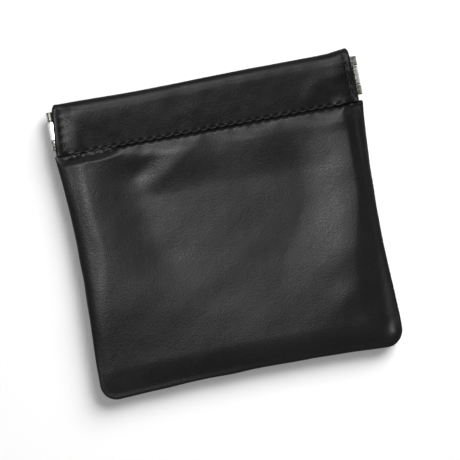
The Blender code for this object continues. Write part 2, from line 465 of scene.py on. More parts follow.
def split_and_bend(
    draft: Draft, name: str, face: Face, node: str, materials: list[bpy.types.Material]
) -> list[bpy.types.Object]:
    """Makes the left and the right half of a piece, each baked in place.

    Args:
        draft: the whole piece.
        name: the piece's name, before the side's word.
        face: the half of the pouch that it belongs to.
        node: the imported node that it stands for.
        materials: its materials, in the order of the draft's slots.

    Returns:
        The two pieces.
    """
    points, quads = np.concatenate(draft.points), np.concatenate(draft.quads)
    centre = points[quads][:, :, 0].mean(axis=1)
    normals = draft.normals()
    pieces = []
    for side in Side:
        mesh = draft.mesh(f"{name}_{side.word}", centre * side.value > 0, normals)
        piece = link_piece(f"{name}_{side.word}", mesh, materials)
        BENDS[face, side].apply(piece, side)
        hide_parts(node)
        pieces.append(piece)
    return pieces


def unit(vectors: np.ndarray) -> np.ndarray:
    """Vectors brought to a length of 1."""
    return vectors / np.maximum(np.linalg.norm(vectors, axis=-1, keepdims=True), TINY)


def grid_normals(centre: np.ndarray) -> np.ndarray:
    """The normal at each point of a grid of points, on the side that its faces show."""
    down, across = np.gradient(centre, axis=0), np.gradient(centre, axis=1)
    return unit(np.cross(across, down))


def around(grid: np.ndarray) -> np.ndarray:
    """The entries along the border of a grid, once round from its first corner and back to it."""
    return np.concatenate([grid[0], grid[1:, -1], grid[-1, -2::-1], grid[-2::-1, 0]])


def add_thick_sheet(
    draft: Draft,
    centre: np.ndarray,
    half: np.ndarray | float,
    rub: np.ndarray | float = 0.0,
    steps: int = 4,
) -> None:
    """Adds a closed sheet of some thickness with rounded borders.

    Args:
        draft: takes the sheet.
        centre: a grid of points on its middle surface.
        half: half its thickness, one number or one for each point.
        rub: how rubbed it is, and on the steel the painted shade, one number or one for each
            point.
        steps: facets round its borders.
    """
    normal = grid_normals(centre)
    half = np.broadcast_to(half, centre.shape[:-1])[..., None]
    rub = np.broadcast_to(rub, centre.shape[:-1])
    front = draft.add_points(centre + normal * half, rub)
    back = draft.add_points(centre - normal * half, rub)
    draft.add_faces(front)
    draft.add_faces(back, flip=True)
    outward = np.zeros_like(centre)
    outward[0] += unit(centre[0] - centre[1])
    outward[-1] += unit(centre[-1] - centre[-2])
    outward[:, 0] += unit(centre[:, 0] - centre[:, 1])
    outward[:, -1] += unit(centre[:, -1] - centre[:, -2])
    grids = (centre, unit(outward), normal, half, rub)
    edge, out, up, thick, worn = (around(grid) for grid in grids)
    rings = [around(front)]
    for k in range(1, steps):
        turn = math.pi * k / steps
        ring = edge + (out * math.sin(turn) + up * math.cos(turn)) * thick
        index = draft.add_points(ring[:-1], worn[:-1])
        rings.append(np.append(index, index[0]))
    rings.append(around(back))
    draft.add_faces(np.stack(rings), flip=True)


def add_thread(
    draft: Draft, path: np.ndarray, radius: float, sides: int = 10, twist: float = 2.2
) -> None:
    """Adds a length of two-ply thread along a path, tapered to its ends.

    Args:
        draft: takes the thread.
        path: points along the thread's middle.
        radius: the thread's radius.
        sides: facets round it.
        twist: turns of the plies over its length.
    """
    along = unit(np.gradient(path, axis=0))
    side = unit(np.cross(along, np.broadcast_to((0.0, 0.0, 1.0), along.shape)))
    up = np.cross(side, along)
    turn = np.linspace(0, 2 * math.pi, sides, endpoint=False)
    share = np.linspace(0, 1, len(path))
    from_tip = np.clip(share * (1 - 2 * THREAD_TIP) + THREAD_TIP, 0, 1)
    girth = radius * np.sqrt(np.clip(np.sin(math.pi * from_tip) * THREAD_FULLNESS, 0.0, 1.0))
    lobes = 1 + PLY_DEPTH * np.cos(2 * (turn[None, :] - math.pi * twist * share[:, None]))
    reach = girth[:, None] * lobes
    points = (
        path[:, None, :]
        + side[:, None, :] * (reach * np.cos(turn))[..., None]
        + up[:, None, :] * (reach * np.sin(turn))[..., None]
    )
    index = draft.add_points(points)
    draft.add_faces(np.concatenate([index, index[:, :1]], axis=1), flip=True)
    half = sides // 2
    for end, flip in ((index[0], False), (index[-1], True)):
        draft.add_faces(np.stack([end[:half], end[::-1][:half]]), flip=flip)


def stitch_run(points: int) -> tuple[np.ndarray, np.ndarray]:
    """Places along a stitch, from -1 to 1, and how far the thread has gone down at each."""
    share = np.linspace(-1, 1, points)
    return share, np.abs(share) ** DIVE_POWER


@dataclass
class Panel:
    """One half of the pouch: leather with a knitted backing, rolled in at the sides and bottom.

    A span is where a change along the pouch or across it begins and ends, and a level is the
    distance below the band at which something is strongest, with its reach.
    """

    form: PouchForm
    face: Face
    leather: bpy.types.Material
    backing: bpy.types.Material
    folds: tuple[Fold | Puff, ...] = ()

    # Facets
    step: float = 0.55 * MM
    across_step: float = 0.40 * MM
    fine_step: float = 0.34 * MM
    fine_reach: float = 6 * MM
    roll_steps: int = 15
    lip_steps: int = 5

    # The rolled edge, squarer the smaller its power is
    lip: float = 0.55 * MM
    seam_gap: float = 0.03 * MM
    relief_fade: float = 0.8
    roll_power: float = 0.68
    left_roll_power: float = 0.37
    left_roll_span: Span = (-40 * MM, -20 * MM)
    left_roll_levels: Span = (24 * MM, 50 * MM)
    foot_power: float = 1.12
    dent: float = 0.22 * MM
    dent_length: float = 23 * MM

    # The swell that starts under the band
    crown: float = 0.6 * MM
    crown_across: float = 0.4
    swell_reach: float = 6.0 * MM
    steep_reach: float = 1.5 * MM
    steep_share: float = 0.66
    steep_left: Span = (-38 * MM, -28 * MM)
    steep_right: Span = (44 * MM, 48 * MM)
    softer_places: tuple[tuple[float, float, float], ...] = (
        (-18 * MM, 9 * MM, 0.34),
        (17 * MM, 6 * MM, 0.40),
        (40.5 * MM, 5 * MM, 0.50),
    )
    late_left: float = 0.9 * MM
    late_left_span: Span = (-38 * MM, -27 * MM)
    late_right: float = 1.4 * MM
    late_right_span: Span = (45 * MM, 48 * MM)
    corner_reach: float = 2.8 * MM
    corner_power: float = 1.1
    corner_span: Span = (-34 * MM, -25 * MM)

    # The hollow of the empty pouch
    dish: float = 1.7 * MM
    dish_more: float = 0.8 * MM
    dish_more_span: Span = (-30 * MM, 6 * MM)
    dish_more_levels: Span = (24 * MM, 46 * MM)
    dish_left: Span = (-44.7 * MM, -24.0 * MM)
    dish_ease: float = 15 * MM
    dish_ease_levels: Span = (28 * MM, 56 * MM)
    dish_wander: float = 1.8 * MM
    wander_length: float = 38 * MM
    wander_across: float = 0.3
    dish_foot: Span = (6 * MM, 38 * MM)
    dish_top: Span = (79 * MM, 62 * MM)
    dish_corner: Span = (82 * MM, 69 * MM)
    slant_place: float = -26.5 * MM
    slant_level: float = 64 * MM
    slant: float = 1.2
    slant_span: Span = (-9 * MM, 6 * MM)
    right_ridge: Span = (38 * MM, 44.5 * MM)
    right_flank: Span = (24 * MM, 18 * MM)
    right_roundness: float = 0.7
    ridge_levels: Span = (22 * MM, 58 * MM)

    # The fall of the leather towards its seams
    right_drop: Span = (1.1 * MM, 0.5 * MM)
    right_seam: float = 47.5 * MM
    slump: float = 0.54 * MM
    least_slump: float = 0.05
    slump_levels: Span = (22 * MM, 50 * MM)
    slump_reach: Span = (3.3 * MM, 8.4 * MM)
    foot_slump: float = 0.8 * MM
    foot_slump_levels: Span = (1.5 * MM, 10 * MM)
    foot_fall: float = 1.0 * MM
    foot_fall_levels: Span = (5 * MM, 36 * MM)
    less_fall: float = 0.5
    less_fall_span: Span = (-25 * MM, 25 * MM)

    # Waves, and the pull of the band's stitches
    wave: float = 0.09 * MM
    wave_length: float = 31 * MM
    small_waves: float = 0.35
    small_wave_length: float = 11 * MM
    gathers: float = 0.16 * MM
    gather_length: float = 9 * MM
    gather_squash: float = 0.25
    gather_level: Span = (2.2 * MM, 1.9 * MM)
    left_corner: Span = (-42 * MM, -32 * MM)
    right_corner: Span = (43 * MM, 47 * MM)
    crumples: float = 0.10 * MM
    crumple_length: float = 4.2 * MM
    crumple_level: Span = (1.6 * MM, 1.8 * MM)
    corner_crest: float = 0.80 * MM
    left_crest: float = 0.25
    crest_level: Span = (0.0, 1.8 * MM)
    stitch_pitch: float = 3.0 * MM
    stitch_lift: float = 0.20 * MM
    lift_level: Span = (0.6 * MM, 0.55 * MM)
    stitch_press: float = 0.16 * MM
    press_level: Span = (0.0, 0.9 * MM)
    back_sink: float = 0.12 * MM
    tuck_fade: Span = (0.6 * MM, -0.8 * MM)

    # Rubbed places
    rubbed: float = 0.5
    rubbed_roll: Span = (0.45, 0.3)
    rubbed_level: Span = (2.0 * MM, 1.6 * MM)

    def swell(self, x: np.ndarray, height: np.ndarray) -> np.ndarray:
        """The smooth form of the outer side.

        Args:
            x: places across the pouch.
            height: heights over the bottom edge.

        Returns:
            The rise over the plane of the seams.
        """
        form = self.form
        full = np.full_like(x, form.mid)
        if self.face is Face.FRONT:
            across = x / (form.band_end + form.foot_overhang)
            along = 2 * height / form.band_foot - 1
            full = full - self.crown * np.minimum(self.crown_across * across**2 + along**2, 1.0)
        late = self.late_left * (1 - ease(*self.late_left_span, x))
        late = late + self.late_right * ease(*self.late_right_span, x)
        below = form.band_foot - late - height

        def flank(reach: float, power: float) -> np.ndarray:
            """The share of the full rise that is reached at each place."""
            return 1 - (1 - np.clip(below / reach, 0.0, 1.0)) ** power

        softer = sum(less * bell(x, middle, reach) for middle, reach, less in self.softer_places)
        ends = ease(*self.steep_left, x) * (1 - ease(*self.steep_right, x))
        steep, gentle = flank(self.steep_reach, 2), flank(self.swell_reach, 2)
        rise = mix(gentle, steep, (self.steep_share - softer) * ends)
        corner = flank(self.corner_reach, self.corner_power)
        rise = mix(corner, rise, ease(*self.corner_span, x))
        return mix(form.tuck_rise, full, rise)

    def hollow(self, x: np.ndarray, height: np.ndarray, wander: np.ndarray) -> np.ndarray:
        """The hollow in the middle of the empty pouch.

        Args:
            x: places across the pouch.
            height: heights over the bottom edge.
            wander: how far the hollow's borders stray at each height.

        Returns:
            Its depth at each place.
        """
        high = ease(*self.ridge_levels, height)
        outer, inner = self.dish_left
        inner = inner + self.dish_ease * (1 - ease(*self.dish_ease_levels, height))
        left = ease(0.0, 1.0, (x + wander - outer) / (inner - outer))
        ridge, flank = mix(*self.right_ridge, high), mix(*self.right_flank, high)
        into = np.clip((ridge + wander - x) / flank, 0, 1)
        right = mix(into, ease(0.0, 1.0, into), self.right_roundness)
        past_slant = x - self.slant_place - self.slant * (height - self.slant_level)
        corner, top = ease(*self.dish_corner, height), ease(*self.dish_top, height)
        top = mix(corner, top, ease(*self.slant_span, past_slant))
        more = (1 - ease(*self.dish_more_span, x)) * ease(*self.dish_more_levels, height)
        depth = self.dish + self.dish_more * more
        return depth * left * right * ease(*self.dish_foot, height) * top

    def cushion(self, x: np.ndarray, height: np.ndarray) -> np.ndarray:
        """The hollow of the empty pouch and the fall of the leather towards its seams.

        Args:
            x: places across the pouch.
            height: heights over the bottom edge.

        Returns:
            How far the leather sinks at each place, as a negative rise.
        """
        high = ease(*self.ridge_levels, height)
        wander = unevenness(height, self.wander_across * x, self.wander_length, phase=0.9)
        wander = self.dish_wander * wander
        inside = self.form.half_width(height) - np.abs(x)
        slump = self.slump * mix(self.least_slump, 1.0, ease(*self.slump_levels, height))
        sides = slump * (1 - ease(*self.slump_reach, inside + 0.5 * wander)) * (x < 0)
        ridge = mix(*self.right_ridge, high)
        sides = sides + mix(*self.right_drop, high) * ease(ridge, self.right_seam, x)
        foot = self.foot_slump * (1 - ease(*self.foot_slump_levels, height))
        fall = self.foot_fall * (1 - ease(*self.foot_fall_levels, height))
        fall = fall * (1 - self.less_fall * ease(*self.less_fall_span, x))
        return -self.hollow(x, height, wander) - fall - np.maximum(sides, foot)

    def relief(self, x: np.ndarray, height: np.ndarray) -> np.ndarray:
        """Folds, waves and the pull of the stitches.

        Args:
            x: places across the pouch.
            height: heights over the bottom edge.

        Returns:
            How far the leather stands over its smooth form.
        """
        total = sum((fold.height(x, height) for fold in self.folds), np.zeros_like(x))
        if self.face is Face.FRONT:
            total = total + self.cushion(x, height)
        wide = unevenness(x, height, self.wave_length, phase=0.6 + self.face.value)
        small = unevenness(x, height, self.small_wave_length, phase=2.1)
        total = total + self.wave * (wide + self.small_waves * small)
        below = self.form.band_foot - height
        gathered = unevenness(x, height * self.gather_squash, self.gather_length, phase=1.3)
        total = total + self.gathers * gathered * bell(below, *self.gather_level)
        left, right = 1 - ease(*self.left_corner, x), ease(*self.right_corner, x)
        crumpled = unevenness(x, height, self.crumple_length, phase=0.3) * (left + right)
        total = total + self.crumples * crumpled * bell(below, *self.crumple_level)
        crest = self.corner_crest * (self.left_crest * left + right)
        total = total + crest * bell(below, *self.crest_level)
        pressed = sewn(x, self.stitch_pitch)
        total = total + self.stitch_lift * (1 - pressed) * bell(below, *self.lift_level)
        under = bell(np.clip(below, 0, None), *self.press_level)
        total = total - self.stitch_press * pressed * under
        if self.face is Face.BACK:
            total = np.minimum(total - self.back_sink, 0.0)
        start, end = self.tuck_fade
        return total * ease(self.form.band_foot + start, self.form.band_foot + end, height)

    def grid(self) -> tuple[np.ndarray, ...]:
        """The grid of the panel, even on top and closing in over the rolled edge.

        Returns:
            For each point its place across from -1 to 1, its level, and how far it lies into the
            rolled side and into the rolled bottom.
        """
        form = self.form
        into = np.cos(np.linspace(0, math.pi / 2, self.roll_steps + 1)[:-1])
        flat = mirrored(1.0, self.across_step / (form.band_end - form.edge_roll))
        across = np.concatenate([np.full(len(into), -1.0), flat, np.full(len(into), 1.0)])
        side = np.concatenate([into, np.zeros_like(flat), into[::-1]])
        fine = form.band_foot - self.fine_reach
        low = spaced(form.edge_roll, fine, self.step)
        up = np.concatenate([low, spaced(fine, form.panel_top, self.fine_step)[1:]])
        level = np.concatenate([np.full(len(into), form.edge_roll), up])
        foot = np.concatenate([into, np.zeros_like(up)])
        across, level = np.broadcast_arrays(across[None, :], level[:, None])
        side, foot = np.broadcast_arrays(side[None, :], foot[:, None])
        return across, level, side * np.sqrt(1 - foot**2 / 2), foot * np.sqrt(1 - side**2 / 2)

    def power(
        self, x: np.ndarray, height: np.ndarray, side: np.ndarray, foot: np.ndarray
    ) -> np.ndarray:
        """How round the rolled edge is.

        Args:
            x: places across the pouch.
            height: heights over the bottom edge.
            side: how far each point lies into the rolled side.
            foot: how far each point lies into the rolled bottom.

        Returns:
            The power of the roll at each place, from about 0.7 where it is full to 1.1.
        """
        left = ease(*self.left_roll_levels, height) * (1 - ease(*self.left_roll_span, x))
        power = self.roll_power + self.left_roll_power * left
        return mix(power, self.foot_power, foot**2 / np.maximum(side**2 + foot**2, ROUNDING))

    def build(self) -> list[bpy.types.Object]:
        """Builds the panel in two halves."""
        form = self.form
        across, level, into_side, into_foot = self.grid()
        edge = np.sqrt(np.clip(1 - into_side**2 - into_foot**2, 0.0, 1.0))
        edge[into_side**2 + into_foot**2 > 1 - ROUNDING] = 0.0
        side = np.copysign(1.0, across)
        draft, skins = Draft(), []
        for slot, inset in enumerate((0.0, form.leather)):
            reach = form.edge_roll - inset
            x = across * (form.half_width(level) - form.edge_roll) + side * reach * into_side
            height = level - reach * into_foot
            relief = self.relief(x, height) * ease(0.0, self.relief_fade, edge)
            top = self.swell(x, height) + relief - inset
            floor = self.seam_gap + (0.0 if inset else self.lip)
            rise = mix(floor, top, edge ** self.power(x, height, into_side, into_foot))
            dent = self.dent * unevenness(x, height, self.dent_length, phase=0.4) * (1 - edge)
            x = x - side * dent * into_side
            height = height + dent * into_foot
            points = self.place(x, height, rise)
            index = draft.add_points(points, self.rub(height, edge) if not slot else 0.0)
            draft.add_faces(index, slot, flip=(self.face is Face.FRONT) == bool(slot))
            skins.append((index, points))
        self.add_rim(draft, skins, into_side * side, into_foot)
        node = f"{self.face.word}_panel"
        materials = [self.leather, self.backing]
        return split_and_bend(draft, f"{node}_skin", self.face, node, materials)

    def place(self, x: np.ndarray, height: np.ndarray, rise: np.ndarray) -> np.ndarray:
        """Points in the frame of the pouch.

        Args:
            x: places across the pouch.
            height: heights over the bottom edge, before the arch of that edge.
            rise: distances from the plane of the seams.

        Returns:
            The points, with x, y and z along the last axis.
        """
        y = self.form.foot + height + self.form.arch(x, height)
        return np.stack([x, y, self.form.mid + self.face.value * rise], axis=-1)

    def rub(self, height: np.ndarray, edge: np.ndarray) -> np.ndarray:
        """Where the leather is rubbed: along the rolled edges and on the swell under the band.

        Args:
            height: heights over the bottom edge.
            edge: 0 at the seam, 1 inside the rolled edge.

        Returns:
            The wear at each place, from 0 to 1.
        """
        swollen = bell(self.form.band_foot - height, *self.rubbed_level)
        return np.clip(self.rubbed * (bell(edge, *self.rubbed_roll) + swollen), 0.0, 1.0)

    def add_rim(
        self, draft: Draft, skins: list, outward_x: np.ndarray, outward_y: np.ndarray
    ) -> None:
        """Turns the leather in at the seam, closes it to the backing and closes the tucked edge.

        Args:
            draft: takes the faces.
            skins: the outer and the inner skin, each with its indices and points.
            outward_x: how far each point of the grid lies into the rolled side.
            outward_y: how far each point lies into the rolled bottom.
        """
        (outer, points), (inner, _) = skins

        def rim(grid: np.ndarray) -> np.ndarray:
            """The border of a grid down the left side, along the bottom and up the right side."""
            return np.concatenate([grid[:0:-1, 0], grid[0, :-1], grid[:, -1]])

        start = rim(points)
        out = unit(np.stack([rim(outward_x), -rim(outward_y), np.zeros(len(start))], axis=-1))
        rings = [rim(outer)]
        for k in range(1, self.lip_steps):
            turn = math.pi / 2 * k / (self.lip_steps - 1)
            rise = self.seam_gap + self.lip * (1 - math.sin(turn))
            ring = start - out * self.lip * (1 - math.cos(turn))
            ring[:, 2] = self.form.mid + self.face.value * rise
            rings.append(draft.add_points(ring))
        rings.append(rim(inner))
        flip = self.face is Face.FRONT
        draft.add_faces(np.stack(rings), flip=flip)
        draft.add_faces(np.stack([inner[-1], outer[-1]]), flip=not flip)
        for end in (0, -1):
            column = [ring[end] for ring in rings]
            half = len(column) // 2
            cap = np.array([column[:half], column[: half - 1 : -1]])
            draft.add_faces(cap, flip=(end == 0) != flip)


class Sheet:
    """A node tree being filled in, with one short call for each node."""

    def __init__(self, tree: bpy.types.NodeTree) -> None:
        """Takes the tree to fill."""
        self.tree = tree

    def feed(self, node: bpy.types.Node, inputs: dict) -> None:
        """Gives a node its inputs by name or place: a socket is linked, anything else is set."""
        for name, value in inputs.items():
            if isinstance(value, bpy.types.NodeSocket):
                self.tree.links.new(value, node.inputs[name])
            else:
                node.inputs[name].default_value = value

    def add(self, kind: str, inputs: dict | None = None, **settings: object) -> bpy.types.Node:
        """Adds a node.

        Args:
            kind: the node's type in Blender, after the word ShaderNode.
            inputs: its inputs, as feed takes them.
            **settings: its own settings.

        Returns:
            The new node.
        """
        node = self.tree.nodes.new(f"ShaderNode{kind}")
        for name, value in settings.items():
            setattr(node, name, value)
        self.feed(node, inputs or {})
        return node

    def place(self) -> Socket:
        """The place on the piece, in metres."""
        return self.add("TexCoord").outputs["Object"]

    def noise(self, scale: Socket | float, detail: float, place: Socket | None = None) -> Socket:
        """A soft noise over the piece, or over the places given."""
        place = self.place() if place is None else place
        return self.add("TexNoise", {"Vector": place, "Scale": scale, "Detail": detail}).outputs[0]

    def math(self, operation: str, first: object, second: object) -> Socket:
        """The result of a calculation with two values or sockets."""
        return self.add("Math", {0: first, 1: second}, operation=operation).outputs[0]

    def weigh(self, *parts: tuple[Socket, Socket | float]) -> Socket:
        """The sum of several values, each times its weight."""
        first, *others = [self.math("MULTIPLY", value, weight) for value, weight in parts]
        for other in others:
            first = self.math("ADD", first, other)
        return first

    def stretch(
        self, value: Socket, start: Span, end: Span = (0.0, 1.0), kind: str = "LINEAR"
    ) -> Socket:
        """Brings a value from one range to another.

        Args:
            value: what is brought over.
            start: the range that it comes from.
            end: the range that it goes to.
            kind: the way between the ends, as Blender names it.

        Returns:
            The new value.
        """
        ends = {"From Min": start[0], "From Max": start[1], "To Min": end[0], "To Max": end[1]}
        return self.add("MapRange", {"Value": value, **ends}, interpolation_type=kind).outputs[0]

    def blend(self, share: object, first: object, second: object) -> Socket:
        """A colour between two colours."""
        # The node's sockets 6 and 7 are for colours, as its output 2 is
        return self.add("Mix", {0: share, 6: first, 7: second}, data_type="RGBA").outputs[2]

    def bump(self, height: Socket, strength: float, distance: float) -> Socket:
        """The normal of a surface that stands up by a height."""
        inputs = {"Height": height, "Strength": strength, "Distance": distance}
        return self.add("Bump", inputs).outputs[0]

    def effect(self, group: bpy.types.NodeTree, inputs: dict) -> object:
        """Places one of the shared effects with its own values, and gives its outputs."""
        return self.add("Group", inputs, node_tree=group).outputs


def new_group(
    name: str, inputs: dict[str, object], outputs: dict[str, str]
) -> tuple[Sheet, object, bpy.types.Node]:
    """Starts a shader node group.

    Args:
        name: the group's name.
        inputs: the value of each input, a number or a colour.
        outputs: for each output, its kind of socket.

    Returns:
        The sheet to fill, the sockets that the group is given and its output node.
    """
    tree = bpy.data.node_groups.new(name, "ShaderNodeTree")
    for socket, value in inputs.items():
        kind = "NodeSocketFloat" if isinstance(value, float) else "NodeSocketColor"
        tree.interface.new_socket(socket, in_out="INPUT", socket_type=kind).default_value = value
    for socket, kind in outputs.items():
        tree.interface.new_socket(socket, in_out="OUTPUT", socket_type=f"NodeSocket{kind}")
    given = tree.nodes.new("NodeGroupInput")
    return Sheet(tree), given.outputs, tree.nodes.new("NodeGroupOutput")


def tone(level: float, blue: float = 1.0) -> tuple[float, float, float, float]:
    """A neutral colour, a little bluer or warmer."""
    return (level, level, level * blue, 1.0)


class Effects:
    """The effects that several finishes share, each a node group that is built once."""

    # How the pebbles stray from a regular pattern, and what the drift calls dark and light
    STRAY_SCALE = 700.0
    STRAY = 0.4 * MM
    DRIFT_SPAN = (0.36, 0.64)

    def __init__(self) -> None:
        """Builds the groups."""
        self.grain = self.build_grain()
        self.drift = self.build_drift()
        self.wear = self.build_wear()

    def build_grain(self) -> bpy.types.NodeTree:
        """Pebbles with finer pores on them and faint creases between them, as a height."""
        inputs = {
            "Pebbles": 2000.0,
            "Pebble Depth": -1.2,
            "Lumps": 1500.0,
            "Lump Height": 0.25,
            "Pores": 6500.0,
            "Pore Depth": 0.14,
            "Creases": 420.0,
            "Crease Width": 0.09,
            "Crease Depth": 0.16,
        }
        sheet, given, result = new_group("leather_grain", inputs, {"Height": "Float"})
        place = sheet.place()
        stray = sheet.add("TexNoise", {"Vector": place, "Scale": self.STRAY_SCALE, "Detail": 2.0})
        far = {0: stray.outputs["Color"], 1: (self.STRAY,) * 3}
        shift = sheet.add("VectorMath", far, operation="MULTIPLY").outputs[0]
        moved = sheet.add("VectorMath", {0: place, 1: shift}, operation="ADD").outputs[0]
        cells = {"Vector": moved, "Scale": given["Pebbles"]}
        pebbles = sheet.add("TexVoronoi", cells, feature="SMOOTH_F1").outputs[0]
        cells = {"Vector": moved, "Scale": given["Creases"]}
        creases = sheet.add("TexVoronoi", cells, feature="DISTANCE_TO_EDGE").outputs[0]
        width = (0.0, given["Crease Width"])
        height = sheet.weigh(
            (pebbles, given["Pebble Depth"]),
            (sheet.noise(given["Lumps"], 2.0, place), given["Lump Height"]),
            (sheet.noise(given["Pores"], 3.0, place), given["Pore Depth"]),
            (sheet.stretch(creases, width, kind="SMOOTHSTEP"), given["Crease Depth"]),
        )
        sheet.feed(result, {"Height": height})
        return sheet.tree

    def build_drift(self) -> bpy.types.NodeTree:
        """A colour that drifts between two tones, in wide clouds and in small specks."""
        inputs = {
            "Dark": tone(0.01),
            "Light": tone(0.02),
            "Clouds": 60.0,
            "Specks": 3000.0,
            "Cloud Share": 0.6,
            "Speck Share": 0.4,
        }
        outputs = {"Color": "Color", "Cloud": "Float", "Speck": "Float"}
        sheet, given, result = new_group("tone_drift", inputs, outputs)
        place = sheet.place()
        cloud = sheet.noise(given["Clouds"], 4.0, place)
        speck = sheet.noise(given["Specks"], 2.0, place)
        both = sheet.weigh((cloud, given["Cloud Share"]), (speck, given["Speck Share"]))
        share = sheet.stretch(both, self.DRIFT_SPAN)
        colour = sheet.blend(share, given["Dark"], given["Light"])
        sheet.feed(result, {"Color": colour, "Cloud": cloud, "Speck": speck})
        return sheet.tree

    def build_wear(self) -> bpy.types.NodeTree:
        """Rubbed leather and the steel's painted shade: the piece's mask, broken up, turns colour
        and roughness.
        """
        inputs = {
            "Color": tone(0.01),
            "Worn Color": tone(0.03),
            "Roughness": 0.5,
            "Worn Roughness": 0.35,
            "Amount": 0.6,
            "Scale": 900.0,
            "Breakup": 1.0,
        }
        outputs = {"Color": "Color", "Roughness": "Float"}
        sheet, given, result = new_group("rubbed_wear", inputs, outputs)
        rub = sheet.add("Attribute", attribute_name="rub").outputs["Fac"]
        broken = sheet.stretch(sheet.noise(given["Scale"], 5.0), NOISE_SPAN, (1.0, 0.0))
        gone = sheet.math("MULTIPLY", broken, given["Breakup"])
        kept = sheet.math("MULTIPLY", rub, sheet.math("SUBTRACT", 1.0, gone))
        mask = sheet.math("MULTIPLY", kept, given["Amount"])
        colour = sheet.blend(mask, given["Color"], given["Worn Color"])
        rough = sheet.add("Mix", {0: mask, 2: given["Roughness"], 3: given["Worn Roughness"]})
        sheet.feed(result, {"Color": colour, "Roughness": rough.outputs[0]})
        return sheet.tree


def start_material(name: str) -> tuple[bpy.types.Material, Sheet, bpy.types.Node]:
    """A material with its Principled shader, ready to be dressed."""
    material = bpy.data.materials.new(name)
    material.use_nodes = True
    tree = material.node_tree
    return material, Sheet(tree), tree.nodes["Principled BSDF"]


@dataclass(frozen=True)
class Finish(ABC):
    """What a material looks like, under the name that it has in the scene."""

    name: str

    @abstractmethod
    def looks(self, sheet: Sheet, effects: Effects) -> dict[str, object]:
        """The inputs of the material's shader.

        Args:
            sheet: the material's tree, which takes the nodes that feed them.
            effects: the shared node groups.

        Returns:
            A value or a socket for each input, by its name.
        """

    def build(self, effects: Effects) -> bpy.types.Material:
        """Makes the material.

        Args:
            effects: the shared node groups.

        Returns:
            The finished material.
        """
        material, sheet, shader = start_material(self.name)
        sheet.feed(shader, self.looks(sheet, effects))
        return material


@dataclass(frozen=True)
class LeatherFinish(Finish):
    """Black coated leather with a fine pebble grain."""

    dark: float = 0.0018
    light: float = 0.0062
    blue: float = 1.08
    specks: float = 1700.0
    roughness: float = 0.36
    roughness_drift: float = 0.13
    speck_share: float = 0.7
    worn: float = 0.009
    worn_roughness: float = 0.32
    specular: float = 0.095
    grain_height: float = 0.055 * MM
    grain_strength: float = 0.50

    def looks(self, sheet: Sheet, effects: Effects) -> dict[str, object]:
        """The inputs of the shader, with the nodes that feed them."""
        dark, light = tone(self.dark, self.blue), tone(self.light, self.blue)
        drift = sheet.effect(effects.drift, {"Dark": dark, "Light": light, "Specks": self.specks})
        share = self.speck_share
        spots = sheet.weigh((drift["Speck"], share), (drift["Cloud"], 1 - share))
        low, high = (self.roughness + turn * self.roughness_drift / 2 for turn in (-1, 1))
        worn = {
            "Color": drift["Color"],
            "Worn Color": tone(self.worn, self.blue),
            "Roughness": sheet.stretch(spots, NOISE_SPAN, (low, high)),
            "Worn Roughness": self.worn_roughness,
        }
        wear = sheet.effect(effects.wear, worn)
        grain = sheet.effect(effects.grain, {})
        return {
            "Base Color": wear["Color"],
            "Roughness": wear["Roughness"],
            "Normal": sheet.bump(grain["Height"], self.grain_strength, self.grain_height),
            "Specular IOR Level": self.specular,
        }


@dataclass(frozen=True)
class BackingFinish(Finish):
    """The knitted cloth on the inside of the leather: rows of small loops."""

    dark: float = 0.010
    light: float = 0.032
    roughness: float = 0.9
    specular: float = 0.2
    wale: float = 0.55 * MM
    wales: float = 0.314
    wale_sway: float = 1.2
    courses: float = 0.45
    course_sway: float = 1.5
    furrow: float = 0.35
    loop_height: float = 0.10 * MM
    loop_strength: float = 0.8

    def looks(self, sheet: Sheet, effects: Effects) -> dict[str, object]:
        """The inputs of the shader, with the nodes that feed them."""

        def rows(direction: str, density: float, sway: float) -> Socket:
            """The loops of the knit in one direction, as soft uneven ribs."""
            bands = {"Vector": sheet.place(), "Scale": density / self.wale}
            bands |= {"Distortion": sway, "Detail": 1.0, "Detail Scale": 3.0}
            return sheet.add("TexWave", bands, bands_direction=direction).outputs["Fac"]

        ribs = rows("X", self.wales, self.wale_sway)
        courses = rows("Y", self.courses, self.course_sway)
        loops = sheet.math("MULTIPLY", ribs, sheet.math("ADD", courses, self.furrow))
        tones = {"Dark": tone(self.dark), "Light": tone(self.light)}
        drift = sheet.effect(effects.drift, tones)
        return {
            # The colour darkens in the furrows between the loops: painted shade in the knit's
            # hollows
            "Base Color": sheet.blend(loops, tone(self.dark), drift["Color"]),
            "Roughness": self.roughness,
            "Normal": sheet.bump(loops, self.loop_strength, self.loop_height),
            "Specular IOR Level": self.specular,
        }


@dataclass(frozen=True)
class ThreadFinish(Finish):
    """Bonded sewing thread, with its fibres."""

    dark: float = 0.003
    light: float = 0.007
    specks: float = 9000.0
    roughness: float = 0.62
    specular: float = 0.2
    fibres: float = 14000.0
    fibre_height: float = 0.02 * MM
    fibre_strength: float = 0.5

    def looks(self, sheet: Sheet, effects: Effects) -> dict[str, object]:
        """The inputs of the shader, with the nodes that feed them."""
        tones = {"Dark": tone(self.dark), "Light": tone(self.light), "Specks": self.specks}
        fibres = sheet.noise(self.fibres, 2.0)
        return {
            "Base Color": sheet.effect(effects.drift, tones)["Color"],
            "Roughness": self.roughness,
            "Normal": sheet.bump(fibres, self.fibre_strength, self.fibre_height),
            "Specular IOR Level": self.specular,
        }


